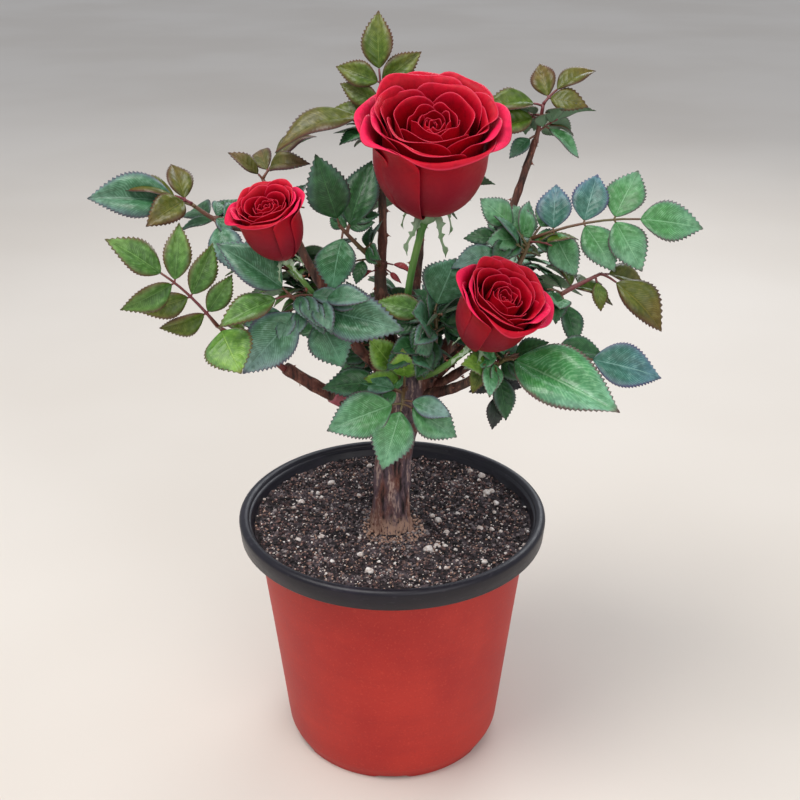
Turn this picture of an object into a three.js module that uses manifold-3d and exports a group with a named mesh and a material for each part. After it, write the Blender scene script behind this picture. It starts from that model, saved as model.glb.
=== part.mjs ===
// A potted rose bush: a short woody trunk in a two-colour plastic nursery pot, canes that
// fork from its head, three red blooms on green stalks, and a crown of serrated compound leaves.
// Millimetres, +Z up. The origin is the centre of the pot's foot, on the surface it stands on.
// The side shown in front is -Y, with +X to its right.
import * as THREE from 'three';
import { mergeVertices } from 'three/addons/utils/BufferGeometryUtils.js';
import Module from 'manifold-3d';

const wasm = await Module();
wasm.setup();

// Driving dimensions of the pot
const POT_HEIGHT = 133;
const RIM_RADIUS = 80;
const RIM_DROP = 10.5;
const RIM_LIP = 5.5;
const WALL = 1.4;
const NECK_RADIUS = 70.3;
const HEEL_RADIUS = 58;
const FOOT_RADIUS = 55;
const FOOT_WIDTH = 4;
const FOOT_LIFT = 3;
const SOIL_LEVEL = 125;
const POT_SIDES = 32;
const FOOT_NOTCHES = 6;
const NOTCH_WIDTH = 18;
const DRAIN_HOLES = 6;
const DRAIN_RADIUS = 4;
const DRAIN_CIRCLE = 34;

// Clearances: the gap between pieces that touch, and the room a leaf keeps to its neighbours
const SEAT = 0.3;
const LEAF_ROOM = 0.45;

// Driving dimensions of the leaves
const BLADE_WIDTH = 0.66;
const BLADE_THICKNESS = 0.9;
const BLADE_FOLD = 0.16;
const BLADE_CURL = 0.1;
const BLADE_STATIONS = [0.32, 0.72, 1];
const RACHIS_RADIUS = 0.85;
const LEAFLET_ANGLES = [60, 68, 76];
const LEAFLET_SIZES = [0.93, 0.88, 0.8];
const PAIR_PLACES = { 1: [], 3: [0.36], 5: [0.66, 0.24], 7: [0.76, 0.48, 0.2] };
const GOLDEN_ANGLE = 137.5;
// A leaf of one leaflet on a stalk no longer than this is a blade that starts at the stem itself
const SHORT_STALK = 6;

// Driving dimensions of the blooms: whorls from the heart outwards
const PETAL_THICKNESS = 0.9;
const PETAL_LAP = 0.06;
const WHORLS = [
  { petals: 3, opening: 0.3, halfAngle: 1.1 },
  { petals: 4, opening: 0.62, halfAngle: 0.85 },
  { petals: 5, opening: 1, halfAngle: 0.68 },
];

const COLOURS = {
  potRed: 0xc23a2c, rimBlack: 0x2a2730, soil: 0x2c2420, bark: 0x5e3f2e, cane: 0x6a3f2f,
  stalk: 0x5a8a35, petal: 0xc10a22,
  deep: 0x1f5234, teal: 0x3d7a68, green: 0x3f8a43, olive: 0x6d7a2c, bronze: 0x5a3f35,
};

const material = (colour, roughness = 0.6) =>
  new THREE.MeshStandardMaterial({ color: COLOURS[colour], roughness, metalness: 0 });

const point = (p) => new THREE.Vector3(p[0], p[1], p[2]);
const UP = new THREE.Vector3(0, 0, 1);
const radians = (degrees) => (degrees * Math.PI) / 180;

// A unit direction from its turn about +Z, counted from +X towards +Y, and its rise above level.
const heading = (turn, rise) =>
  new THREE.Vector3(
    Math.cos(radians(turn)) * Math.cos(radians(rise)),
    Math.sin(radians(turn)) * Math.cos(radians(rise)),
    Math.sin(radians(rise)),
  );

// A small repeatable generator of numbers between -1 and 1.
function dice(seed) {
  let state = seed >>> 0;
  return () => {
    state = (Math.imul(state, 1664525) + 1013904223) >>> 0;
    return state / 2147483648 - 1;
  };
}

function solidOf(geometry) {
  const bare = geometry.clone();
  bare.deleteAttribute('normal');
  bare.deleteAttribute('uv');
  const merged = mergeVertices(bare, 1e-4);
  return new wasm.Manifold(
    new wasm.Mesh({
      numProp: 3,
      vertProperties: new Float32Array(merged.attributes.position.array),
      triVerts: new Uint32Array(merged.index.array),
    }),
  );
}

function geometryOf(solid) {
  const mesh = solid.getMesh();
  const geometry = new THREE.BufferGeometry();
  geometry.setAttribute('position', new THREE.BufferAttribute(new Float32Array(mesh.vertProperties), 3));
  geometry.setIndex(new THREE.BufferAttribute(new Uint32Array(mesh.triVerts), 1));
  return geometry;
}

// Moves every vertex of a geometry to where place(vertex) says.
function reshape(geometry, place) {
  const position = geometry.attributes.position;
  const vertex = new THREE.Vector3();
  for (let i = 0; i < position.count; i += 1) {
    const moved = place(vertex.fromBufferAttribute(position, i));
    position.setXYZ(i, moved.x, moved.y, moved.z);
  }
  return geometry;
}

const largestPart = (solid) =>
  solid.decompose().reduce((best, part) => (part.volume() > best.volume() ? part : best));

const near = (a, b) => {
  const [p, q] = [a.boundingBox(), b.boundingBox()];
  return [0, 1, 2].every((k) => p.min[k] <= q.max[k] && q.min[k] <= p.max[k]);
};
const touches = (a, b) => near(a, b) && !a.intersect(b).isEmpty();

// Limbs: a cylinder bent along a planar curve, with its radius given along its length

const curveOf = (points) => new THREE.QuadraticBezierCurve3(...points.map(point));

function limbGeometry(curve, radiusAt, sides, steps, grow = 0) {
  const across = new THREE.Vector3()
    .subVectors(curve.v1, curve.v0)
    .cross(new THREE.Vector3().subVectors(curve.v2, curve.v1))
    .normalize();
  return reshape(new THREE.CylinderGeometry(1, 1, 1, sides, steps), (v) => {
    const t = v.y + 0.5;
    const tangent = curve.getTangent(t);
    const normal = new THREE.Vector3().crossVectors(tangent, across);
    const angle = Math.atan2(v.z, v.x);
    const radius = Math.hypot(v.x, v.z) > 0.01 ? radiusAt(t, angle) + grow : 0;
    const end = (t > 0.999 ? grow : 0) - (t < 0.001 ? grow : 0);
    return curve
      .getPoint(t)
      .addScaledVector(normal, radius * Math.cos(angle))
      .addScaledVector(across, radius * Math.sin(angle))
      .addScaledVector(tangent, end);
  });
}

const taper = (from, to) => (t) => from + (to - from) * t;

// The trunk: a root flare at the soil, a slight waist, and a knobbly head that leans to the right
const TRUNK = [[0, -8, SOIL_LEVEL - 5], [-4, -7, 170], [13, -4, 213]];
const TRUNK_RADIUS = 9.3;
const ROOT_FLARE = 3;
const HEAD_SWELL = 3.4;

function trunkRadius(t, angle) {
  const flare = ROOT_FLARE * Math.exp(-t / 0.09) * (1 + 0.3 * Math.cos(3 * angle + 0.8));
  const head = HEAD_SWELL * Math.exp(-(((t - 0.9) / 0.16) ** 2)) * (1 + 0.25 * Math.cos(2 * angle + 1));
  const ribs = 0.35 * Math.cos(5 * angle + 4 * t);
  return TRUNK_RADIUS + flare + head + ribs - 0.6 * t;
}

const trunkSolid = (grow = 0) =>
  solidOf(limbGeometry(curveOf(TRUNK), trunkRadius, 14, 9, grow)).trimByPlane([0, 0, 1], SOIL_LEVEL + SEAT);

// The main boughs: [name, what it grows from, start, bend, tip, radius at its foot, radius at its tip]
const BOUGHS = [
  ['cane_leader', 'trunk', [9, -1, 208], [-8, 1, 236], [-5, 3, 266], 4.4, 3.3],
  ['cane_leader_top', 'cane_leader', [-5, 3, 263], [-3, 5, 292], [-6, 12, 318], 2.6, 1.9],
  ['cane_left_low', 'trunk', [-1, -6, 186], [-26, -14, 200], [-50, -24, 222], 4.3, 3.2],
  ['cane_left_front', 'trunk', [3, -9, 205], [-17, -24, 234], [-35, -34, 256], 3.4, 2.4],
  ['cane_left_high', 'trunk', [5, 0, 209], [-30, 4, 238], [-45, 6, 275], 3.4, 2.2],
  ['cane_left_far', 'cane_left_high', [-45, 6, 272], [-58, 1, 282], [-76, -2, 284], 1.9, 1.5],
  ['cane_right_high', 'trunk', [16, 0, 208], [42, 12, 236], [54, 20, 276], 4, 2.8],
  ['cane_right_top', 'cane_right_high', [54, 20, 273], [62, 25, 296], [69, 30, 318], 2.4, 1.8],
  ['cane_right_mid', 'trunk', [18, -5, 206], [44, -6, 232], [60, -2, 266], 3, 2],
  ['cane_right_low', 'trunk', [17, -7, 203], [48, -12, 222], [74, -12, 252], 2.8, 1.9],
  ['cane_front_right', 'trunk', [14, -10, 202], [30, -27, 210], [46, -42, 230], 3.2, 2.2],
  ['cane_back_left', 'trunk', [4, 2, 205], [-24, 34, 212], [-42, 50, 232], 3.4, 2.2],
  ['cane_back', 'trunk', [11, 2, 210], [10, 34, 236], [16, 44, 280], 3.6, 2.3],
  ['cane_back_right', 'trunk', [15, 1, 205], [40, 34, 212], [56, 50, 232], 3.4, 2.2],
  ['cane_back_low', 'trunk', [10, 3, 200], [8, 32, 202], [6, 50, 214], 2.8, 2],
];

// The green flower stalks, and the blooms that sit on them
const STALKS = [
  ['stalk_large', 'trunk', [9, -7, 212], [2, -18, 250], [16, -25, 297], 2.3, 2],
  ['stalk_left', 'cane_left_front', [-23, -26, 242], [-36, -30, 262], [-46, -40, 280], 1.6, 1.5],
  ['stalk_right', 'trunk', [12, -10, 211], [20, -35, 222], [36, -46, 242], 2, 1.7],
];

// [name, stalk, radius of the open face, height, turn and rise of the axis, seed]
const BLOOMS = [
  ['bloom_large', 'stalk_large', 34, 58, -84, 65, 5],
  ['bloom_left', 'stalk_left', 18, 34, -125, 66, 9],
  ['bloom_right', 'stalk_right', 23, 41, -52, 54, 14],
];

// Masses of leaves. The stem is the curve that carries them on from a bough's tip or the trunk.
// A leaf: [place on the stem, turn, rise, reach of its stalk, leaflets, leaflet size, lean to the front]
const MASSES = [
  {
    name: 'leaves_front', from: 'trunk', tint: 'green', seed: 3,
    stem: [[7, -12, 205], [6, -28, 218], [5, -36, 208]],
    leaves: [
      [1, -110, -36, 3, 1, 27, 1.2], [0.97, -165, 7, 5, 1, 31, 1], [0.97, -15, -14, 5, 1, 27, 1],
      [0.72, 169, 32, 5, 1, 20, 0.8], [0.9, -22, 8, 5, 1, 19, 1], [0.4, -168, 24, 14, 1, 27, 1],
      [0.35, -150, 64, 14, 3, 20, 1.5], [0.5, -88, 66, 10, 1, 18, 1.5],
    ],
  },
  {
    name: 'leaves_left_low', from: 'cane_left_low', tint: 'green', seed: 8,
    stem: [[-50, -24, 221], [-62, -33, 236], [-78, -40, 249]],
    leaves: [
      [1, 204, 54, 40, 7, 28, 0.9], [1, -60, -4, 4, 1, 24, 1.2], [0.3, 130, 12, 12, 3, 25, 0],
    ],
  },
  {
    name: 'leaves_left_front', from: 'cane_left_front', tint: 'teal', seed: 21,
    stem: [[-35, -34, 255], [-39, -37, 257], [-46, -38, 264]],
    leaves: [
      [1, 186, 52, 4, 1, 36, 0.9], [0.9, 214, 8, 8, 1, 29, 0.9], [0.4, 210, -27, 5, 1, 38, 1.3],
      [0.2, -25, 11, 5, 1, 42, 1.1], [0.1, -31, -42, 5, 1, 24, 1.3],
    ],
  },
  {
    name: 'leaves_left_high', from: 'cane_left_high', tint: 'bronze', seed: 34,
    stem: [[-45, 6, 274], [-54, 13, 290], [-61, 14, 303]],
    leaves: [
      [1, 30, 50, 12, 3, 24, 0.6], [0.95, 188, 58, 5, 1, 18, 0.6], [0.8, 208, 4, 3, 1, 13, 0.6],
      [0.35, 150, 12, 12, 3, 22, 0],
    ],
  },
  {
    name: 'leaves_left_far', from: 'cane_left_far', tint: 'teal', seed: 40,
    stem: [[-76, -2, 284], [-84, -4, 289], [-92, -5, 296]],
    leaves: [
      [0.9, 192, 24, 10, 1, 41, 1], [1, 190, 48, 9, 3, 24, 0.5], [0.4, -62, -26, 5, 1, 26, 0.8],
      [0.2, 130, 14, 12, 3, 22, 0],
    ],
  },
  {
    name: 'leaves_centre_left', from: 'cane_leader', tint: 'deep', seed: 55,
    stem: [[-6, 1, 265], [-15, -6, 275], [-24, -9, 287]],
    leaves: [
      [1, 220, 74, 4, 1, 32, 1.4], [0.8, 46, 70, 5, 1, 31, 1], [0.9, -104, -46, 4, 1, 25, 1.6],
    ],
  },
  {
    name: 'leaves_top_left', from: 'cane_leader_top', tint: 'olive', seed: 61,
    stem: [[-6, 12, 317], [-4, 13, 324], [-4, 14, 332]],
    leaves: [
      [1, 128, 84, 24, 5, 25, 0.9], [0.9, 189, 12, 12, 1, 42, 1], [0.6, 160, 40, 5, 1, 22, 0.8],
      [0.8, 10, 40, 8, 1, 22, 0.8], [0.3, 80, 22, 14, 5, 23, -0.4],
    ],
  },
  {
    name: 'leaves_right_top', from: 'cane_right_top', tint: 'olive', seed: 72,
    stem: [[69, 30, 317], [71, 31, 325], [72, 30, 335]],
    leaves: [
      [1, 16, 48, 10, 3, 22, 0.5], [0.95, 191, 22, 5, 1, 28, 0.8], [0.65, 204, 14, 5, 1, 27, 1],
      [0.5, -18, -16, 5, 1, 20, 0.6], [0.2, 203, -14, 4, 1, 14, 0.8], [0.4, 80, 12, 12, 3, 24, -0.3],
    ],
  },
  {
    name: 'leaves_right', from: 'cane_right_mid', tint: 'teal', seed: 83,
    stem: [[60, -2, 265], [63, -1, 272], [66, 0, 278]],
    leaves: [
      [1, -6, 18, 52, 7, 26, 1.4], [0.5, 203, 10, 14, 1, 25, 1.2], [0.6, 40, 50, 14, 3, 21, 0.6],
      [0.7, 165, 55, 14, 3, 20, 1.2],
    ],
  },
  {
    name: 'leaves_right_far', from: 'cane_right_low', tint: 'olive', seed: 97,
    stem: [[74, -12, 251], [85, -12, 258], [98, -10, 264]],
    leaves: [
      [1, -18, -20, 8, 1, 33, 0.7], [0.9, -65, -50, 3, 1, 14, 1], [0.95, 24, 2, 6, 1, 24, 0.4],
      [0.4, 60, 4, 12, 3, 24, 0], [0.25, -66, -34, 5, 1, 21, 0.8], [0.05, -82, 30, 5, 1, 20, 1],
    ],
  },
  {
    name: 'leaves_front_right', from: 'cane_front_right', tint: 'green', seed: 104,
    stem: [[46, -42, 229], [49, -46, 234], [51, -49, 237]],
    leaves: [
      [1, -38, 13, 5, 1, 58, 1.1], [0.85, -5, 8, 40, 1, 33, 0.9], [0.9, 12, 13, 26, 1, 24, 0.8],
      [0.3, -60, -58, 5, 1, 19, 1.3], [0.1, -80, -66, 12, 3, 15, 1.2], [0.2, -132, 34, 4, 1, 18, 1.5],
    ],
  },
  {
    name: 'leaves_centre', from: 'trunk', tint: 'deep', seed: 113,
    stem: [[16, -10, 213], [23, -22, 232], [20, -26, 251]],
    leaves: [
      [1, 60, 60, 4, 1, 27, 1.5], [0.9, 172, 34, 6, 1, 25, 1.4], [0.7, -10, 40, 5, 1, 20, 1.4],
      [0.75, -110, 20, 5, 1, 20, 1.5],
    ],
  },
  {
    name: 'leaves_heart_left', from: 'trunk', tint: 'deep', seed: 160,
    stem: [[2, -6, 209], [-9, -10, 224], [-14, -9, 240]],
    leaves: [[1, 196, 10, 5, 1, 27, 1.2], [0.9, 120, 60, 5, 1, 22, 0.3]],
  },
  {
    name: 'leaves_heart_right', from: 'trunk', tint: 'deep', seed: 171,
    stem: [[15, -5, 210], [22, -3, 226], [27, -4, 241]],
    leaves: [[1, -20, 40, 4, 1, 20, 1], [0.8, -58, 14, 5, 1, 22, 1.2], [0.9, 90, 50, 12, 3, 20, 0.3]],
  },
  {
    name: 'leaves_back_left', from: 'cane_back_left', tint: 'green', seed: 120,
    stem: [[-42, 50, 231], [-51, 54, 240], [-60, 54, 252]],
    whorl: { leaves: 5, turn: 150, rise: -6, reach: 14, leaflets: 3, size: 26 },
  },
  {
    name: 'leaves_back', from: 'cane_back', tint: 'deep', seed: 131,
    stem: [[16, 44, 279], [17, 50, 290], [18, 52, 306]],
    whorl: { leaves: 5, turn: 75, rise: 2, reach: 13, leaflets: 3, size: 26 },
  },
  {
    name: 'leaves_back_right', from: 'cane_back_right', tint: 'teal', seed: 142,
    stem: [[56, 50, 231], [63, 54, 240], [71, 53, 252]],
    whorl: { leaves: 5, turn: 60, rise: -6, reach: 14, leaflets: 3, size: 26 },
  },
  {
    name: 'leaves_back_low', from: 'cane_back_low', tint: 'green', seed: 153,
    stem: [[6, 50, 213], [6, 55, 218], [6, 58, 228]],
    whorl: { leaves: 4, turn: 70, rise: -10, reach: 12, leaflets: 3, size: 25 },
  },
];

// The compound leaf: a grooved stalk that ends in a leaflet, with paired leaflets across it

function leafFrame(foot, turn, rise, reach, lean) {
  const along = heading(turn, rise);
  const outward = new THREE.Vector3(foot.x, foot.y, 0).setLength(0.45);
  const facing = UP.clone().add(outward).add(new THREE.Vector3(0, -lean, 0));
  const tip = foot.clone().addScaledVector(along, reach).addScaledVector(UP, -0.1 * reach);
  const bend = foot.clone().addScaledVector(along, reach * 0.5).addScaledVector(UP, 0.06 * reach);
  return { facing, curve: new THREE.QuadraticBezierCurve3(foot, bend, tip) };
}

// The frame of the leaf at a place on its stalk: the way it runs, its face, and its left side.
function frameAt({ curve, facing }, place) {
  const way = curve.getTangent(place);
  const normal = facing.clone().addScaledVector(way, -facing.dot(way)).normalize();
  return { foot: curve.getPoint(place), way, normal, side: new THREE.Vector3().crossVectors(normal, way) };
}

// A leaflet swung off the stalk by some degrees, banked a little and grown to a length.
function leafletAt(frame, degrees, length, roll) {
  const swing = radians(degrees + 6 * roll());
  const bank = radians(14 * roll());
  const way = frame.way.clone().multiplyScalar(Math.cos(swing)).addScaledVector(frame.side, Math.sin(swing));
  const side = new THREE.Vector3().crossVectors(frame.normal, way);
  const normal = frame.normal.clone().multiplyScalar(Math.cos(bank)).addScaledVector(side, Math.sin(bank));
  side.crossVectors(normal, way);
  return { foot: frame.foot, way, normal, side, length: length * (1 + 0.07 * roll()) };
}

// Half the blade's width at a share of its length, in shares of the full width.
const bladeHalf = (s) => 0.5 * Math.sin(Math.PI * s ** 0.82) ** 0.9;

// One cross-section of a leaf body: a lozenge with its ridges on the midrib and at the margins.
const ring = (centre, side, normal, half, rib) => ({ centre, side, normal, half, rib });

function bladeRings({ foot, way, normal, side, length }, grow, turned = 1) {
  return BLADE_STATIONS.map((s) => {
    const centre = foot.clone().addScaledVector(way, s * length + (s === 1 ? grow : 0));
    centre.addScaledVector(normal, -length * BLADE_CURL * s * s);
    const half = s === 1 ? 0 : length * BLADE_WIDTH * bladeHalf(s) + grow;
    const rib = s === 1 ? 0 : BLADE_THICKNESS / 2 + grow;
    return ring(centre, side.clone().multiplyScalar(turned), normal, half, rib);
  });
}

// Skins a row of rings, whose first and last are points.
function spindle(rings) {
  const last = rings.length - 1;
  return solidOf(
    reshape(new THREE.SphereGeometry(1, 4, last), (v) => {
      const at = rings[Math.round((Math.acos(THREE.MathUtils.clamp(v.y, -1, 1)) / Math.PI) * last)];
      const onMargin = Math.abs(v.x) > Math.abs(v.z);
      const across = onMargin ? Math.sign(v.x) * at.half : 0;
      const lift = onMargin ? at.half * BLADE_FOLD : Math.sign(v.z) * at.rib;
      return at.centre.clone().addScaledVector(at.side, across).addScaledVector(at.normal, lift);
    }),
  );
}

const sunkPoint = ({ foot, way, side, normal }, depth) =>
  ring(foot.clone().addScaledVector(way, -depth), side, normal, 0, 0);

const bladeSolid = (leaflet, grow) => spindle([sunkPoint(leaflet, 1.1), ...bladeRings(leaflet, grow)]);

// Two leaflets that face each other across the stalk, made as one body through it.
function pairSolid(frame, [left, right]) {
  const travel = frame.side.clone().negate();
  const side = new THREE.Vector3().crossVectors(frame.normal, travel);
  const waist = ring(frame.foot, side, frame.normal, 0.8, 0.55);
  return spindle([...bladeRings(left, 0, -1).reverse(), waist, ...bladeRings(right, 0)]);
}

// The stalk with the leaflet at its tip.
function stalkSolid(leaf, terminal, grow) {
  const rings = [sunkPoint(frameAt(leaf, 0), 0.6)];
  for (const [place, share] of [[0.12, 1.25], [0.55, 1], [1, 0.8]]) {
    const { foot, side, normal } = frameAt(leaf, place);
    const radius = RACHIS_RADIUS * share;
    rings.push(ring(foot, side, normal, radius + grow, radius + grow));
  }
  return spindle([...rings, ...bladeRings(terminal, grow)]);
}

// The leaves of a mass in the back of the crown turn round its stem by the golden angle.
function whorlLeaves({ leaves, turn, rise, reach, leaflets, size }) {
  return Array.from({ length: leaves }, (_, i) => {
    const share = (i + 0.5) / leaves;
    const lean = -Math.sin(radians(turn)) * 0.5;
    return [share, turn + GOLDEN_ANGLE * i, rise + 40 * share, reach * (1.15 - 0.4 * share), leaflets,
      size * (1.08 - 0.2 * share), lean];
  });
}

// The blooms: whorls of overlapping petals, each cut from a turned cup, round a closed heart

// How far from the axis and how high a petal stands at a share of its height,
// for an opening from 0 (the heart) to 1 (the outermost whorl).
function cupAt(v, opening, radius, height) {
  const belly = 0.16 + 0.64 * opening;
  const lip = 0.1 + 0.9 * opening;
  const bulge = Math.sin((Math.min(1, v / 0.55) * Math.PI) / 2);
  return { out: radius * bulge * (belly + (lip - belly) * v * v), up: height * v * (1 - 0.14 * opening * v) };
}

function petalSolid(radius, height, opening, turn, halfAngle) {
  return solidOf(
    reshape(new THREE.BoxGeometry(2, 1, 2, 3, 2, 1), (p) => {
      const v = 0.24 + 0.76 * (p.y + 0.5) * (1 - 0.16 * p.x * p.x);
      const cup = cupAt(v, opening, radius, height);
      const angle = turn + p.x * halfAngle;
      const out = cup.out + (p.z * PETAL_THICKNESS) / 2 + p.x * radius * PETAL_LAP;
      return new THREE.Vector3(out * Math.cos(angle), out * Math.sin(angle), cup.up);
    }),
  );
}

function bloomSolid(radius, height, seed) {
  const roll = dice(seed);
  const calyx = [0, 0.1, 0.2, 0.3].map((v) => {
    const { out, up } = cupAt(v, 0.86, radius, height);
    return [out, up];
  });
  const heart = [[0.3, 0.38], [0.15, 0.55], [0.14, 0.92], [0, 0.86]]
    .map(([out, up]) => [radius * out, height * up]);
  const profile = [...calyx, ...heart].map((p) => new THREE.Vector2(...p));
  let bloom = solidOf(new THREE.LatheGeometry(profile, 8).rotateX(Math.PI / 2));
  WHORLS.slice(radius < 30 ? 1 : 0).forEach(({ petals, opening, halfAngle }, k) => {
    for (let i = 0; i < petals; i += 1) {
      const turn = (2 * Math.PI * (i + 0.4 * k)) / petals + 0.12 * roll();
      bloom = bloom.add(petalSolid(radius, height * (1 + 0.04 * roll()), opening, turn, halfAngle));
    }
  });
  return largestPart(bloom);
}

// The pot, its rim and the soil are turned about +Z

const turned = (outline) => {
  const profile = outline.map((p) => new THREE.Vector2(...p));
  return solidOf(new THREE.LatheGeometry(profile, POT_SIDES).rotateX(Math.PI / 2));
};

const BAND_LOW = POT_HEIGHT - RIM_DROP;

function potWall() {
  let pot = turned([
    [0, FOOT_LIFT], [FOOT_RADIUS - FOOT_WIDTH, FOOT_LIFT],
    [FOOT_RADIUS - FOOT_WIDTH + 0.6, 0], [FOOT_RADIUS, 0], [FOOT_RADIUS + 1.6, 3],
    [HEEL_RADIUS, 8], [NECK_RADIUS, BAND_LOW - SEAT],
    [NECK_RADIUS - WALL, BAND_LOW - SEAT], [HEEL_RADIUS - WALL, 8.4], [HEEL_RADIUS - 4, FOOT_LIFT + WALL],
    [0, FOOT_LIFT + WALL],
  ]);
  for (let i = 0; i < FOOT_NOTCHES; i += 1) {
    const notch = new THREE.BoxGeometry(FOOT_WIDTH * 3, NOTCH_WIDTH, 2.4)
      .translate(FOOT_RADIUS, 0, 0)
      .rotateZ((i * 2 * Math.PI) / FOOT_NOTCHES + Math.PI / 2);
    pot = pot.subtract(solidOf(notch));
  }
  for (let i = 0; i < DRAIN_HOLES; i += 1) {
    const hole = new THREE.CylinderGeometry(DRAIN_RADIUS, DRAIN_RADIUS, 12, 6)
      .rotateX(Math.PI / 2)
      .translate(DRAIN_CIRCLE, 0, FOOT_LIFT)
      .rotateZ((i * 2 * Math.PI) / DRAIN_HOLES);
    pot = pot.subtract(solidOf(hole));
  }
  return pot;
}

// The black rim: a shoulder that stands on the wall, flares, and rolls over into a hollow band
const SHOULDER_RADIUS = 72.6;

function potRim() {
  const outline = [
    [NECK_RADIUS - WALL, BAND_LOW], [NECK_RADIUS + 0.8, BAND_LOW], [SHOULDER_RADIUS + 1.2, BAND_LOW + 3],
    [RIM_RADIUS - RIM_LIP + 1, POT_HEIGHT - 3.4], [RIM_RADIUS - 2.2, POT_HEIGHT - 3.4],
    [RIM_RADIUS - 2.4, BAND_LOW], [RIM_RADIUS - 1, BAND_LOW], [RIM_RADIUS, POT_HEIGHT - 2],
    [RIM_RADIUS - 2.2, POT_HEIGHT], [RIM_RADIUS - RIM_LIP, POT_HEIGHT - 1.4], [SHOULDER_RADIUS, BAND_LOW + 4],
  ];
  return turned([...outline, outline[0]]);
}

// Soil fills the pot up into the flare of the rim
function soil() {
  const neck = NECK_RADIUS - WALL - SEAT;
  return turned([
    [0, FOOT_LIFT + WALL + SEAT], [HEEL_RADIUS - 4.4, FOOT_LIFT + WALL + SEAT],
    [HEEL_RADIUS - WALL - SEAT, 9], [neck, BAND_LOW + 0.4], [neck + 1.6, SOIL_LEVEL - 0.9],
    [neck * 0.85, SOIL_LEVEL - 0.3], [0, SOIL_LEVEL],
  ]);
}

// Assembly: each piece is cut clear of what it grows from, and of what was placed before it

const group = new THREE.Group();
group.name = 'rose_bush';
const placed = [];
const grownLimbs = new Map();

function place(name, solid, colour, roughness) {
  placed.push({ name, solid });
  const mesh = new THREE.Mesh(geometryOf(solid), material(colour, roughness));
  mesh.name = name;
  group.add(mesh);
}

place('pot_wall', potWall(), 'potRed', 0.55);
place('pot_rim', potRim(), 'rimBlack', 0.4);
place('soil', soil(), 'soil', 0.95);
place('trunk', trunkSolid(), 'bark', 0.9);
grownLimbs.set('trunk', trunkSolid(SEAT));

function placeLimb([name, from, start, bend, tip, footRadius, tipRadius], colour, sides) {
  const curve = curveOf([start, bend, tip]);
  const radius = taper(footRadius, tipRadius);
  const solid = (grow) => solidOf(limbGeometry(curve, radius, sides, 4, grow));
  let cut = solid(0).subtract(grownLimbs.get(from));
  for (const [other, grown] of grownLimbs) {
    if (other !== from && touches(cut, grown)) cut = cut.subtract(grown);
  }
  grownLimbs.set(name, solid(SEAT));
  place(name, largestPart(cut), colour, 0.8);
}

BOUGHS.forEach((bough) => placeLimb(bough, 'cane', 6));
STALKS.forEach((stalk) => placeLimb(stalk, 'stalk', 6));

for (const [name, stalk, radius, height, turn, rise, seed] of BLOOMS) {
  const tip = point(STALKS.find((s) => s[0] === stalk)[4]);
  const axis = heading(turn, rise);
  const stand = new THREE.Matrix4()
    .makeRotationFromQuaternion(new THREE.Quaternion().setFromUnitVectors(UP, axis))
    .setPosition(tip.addScaledVector(axis, SEAT));
  const shape = geometryOf(bloomSolid(radius, height, seed)).applyMatrix4(stand);
  place(name, solidOf(shape).subtract(grownLimbs.get(stalk)), 'petal', 0.6);
}

// A leaf that would touch what already stands there is left out.
for (const { name, from, tint, seed, stem, leaves, whorl } of MASSES) {
  const roll = dice(seed);
  const stemCurve = curveOf(stem);
  let mass = solidOf(limbGeometry(stemCurve, taper(1.6, 1.1), 5, 3));
  const blocked = (solid) => placed.some((other) => other.name !== from && touches(other.solid, solid));
  const add = (solidAt) => {
    if (!blocked(solidAt(LEAF_ROOM))) mass = mass.add(solidAt(0));
  };
  for (const [at, turn, rise, reach, count, size, lean] of leaves ?? whorlLeaves(whorl)) {
    const leaf = leafFrame(stemCurve.getPoint(at), turn, rise, reach, lean);
    const terminal = leafletAt(frameAt(leaf, 1), 0, size, roll);
    if (reach <= SHORT_STALK) {
      const blade = { ...terminal, foot: stemCurve.getPoint(at), length: terminal.length + reach };
      add((grow) => bladeSolid(blade, grow));
      continue;
    }
    add((grow) => stalkSolid(leaf, terminal, grow));
    PAIR_PLACES[count].forEach((place, k) => {
      const frame = frameAt(leaf, place);
      const pair = [1, -1].map((s) => leafletAt(frame, s * LEAFLET_ANGLES[k], size * LEAFLET_SIZES[k], roll));
      const free = pair.filter((leaflet) => !blocked(bladeSolid(leaflet, LEAF_ROOM)));
      if (free.length === 2) mass = mass.add(pairSolid(frame, pair));
      else if (free.length === 1) mass = mass.add(bladeSolid(free[0], 0));
    });
  }
  for (const grown of grownLimbs.values()) {
    if (touches(mass, grown)) mass = mass.subtract(grown);
  }
  place(name, largestPart(mass), tint, 0.5);
}

export default group;
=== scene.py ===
import math
from collections import namedtuple

import bmesh
import bpy
import numpy as np
from mathutils import Matrix, Vector, noise


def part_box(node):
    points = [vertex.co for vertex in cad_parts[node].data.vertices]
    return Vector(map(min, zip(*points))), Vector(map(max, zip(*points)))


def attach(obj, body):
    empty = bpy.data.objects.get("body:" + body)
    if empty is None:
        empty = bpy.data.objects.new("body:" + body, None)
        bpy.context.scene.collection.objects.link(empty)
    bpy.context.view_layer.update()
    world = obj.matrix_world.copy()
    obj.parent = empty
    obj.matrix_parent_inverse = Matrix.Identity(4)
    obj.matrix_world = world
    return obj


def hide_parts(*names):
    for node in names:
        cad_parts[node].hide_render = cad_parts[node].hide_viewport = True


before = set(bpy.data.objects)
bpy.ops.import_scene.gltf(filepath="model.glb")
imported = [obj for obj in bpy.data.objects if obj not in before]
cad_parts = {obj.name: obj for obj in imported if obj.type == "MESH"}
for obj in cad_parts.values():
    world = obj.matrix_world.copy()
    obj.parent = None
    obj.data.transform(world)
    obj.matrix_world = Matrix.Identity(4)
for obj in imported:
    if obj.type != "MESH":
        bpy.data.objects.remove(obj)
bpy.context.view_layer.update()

# Lengths are in millimetres until a mesh is made, as in the part's source
MM = 0.001
UP = np.array([0.0, 0.0, 1.0])

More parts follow.
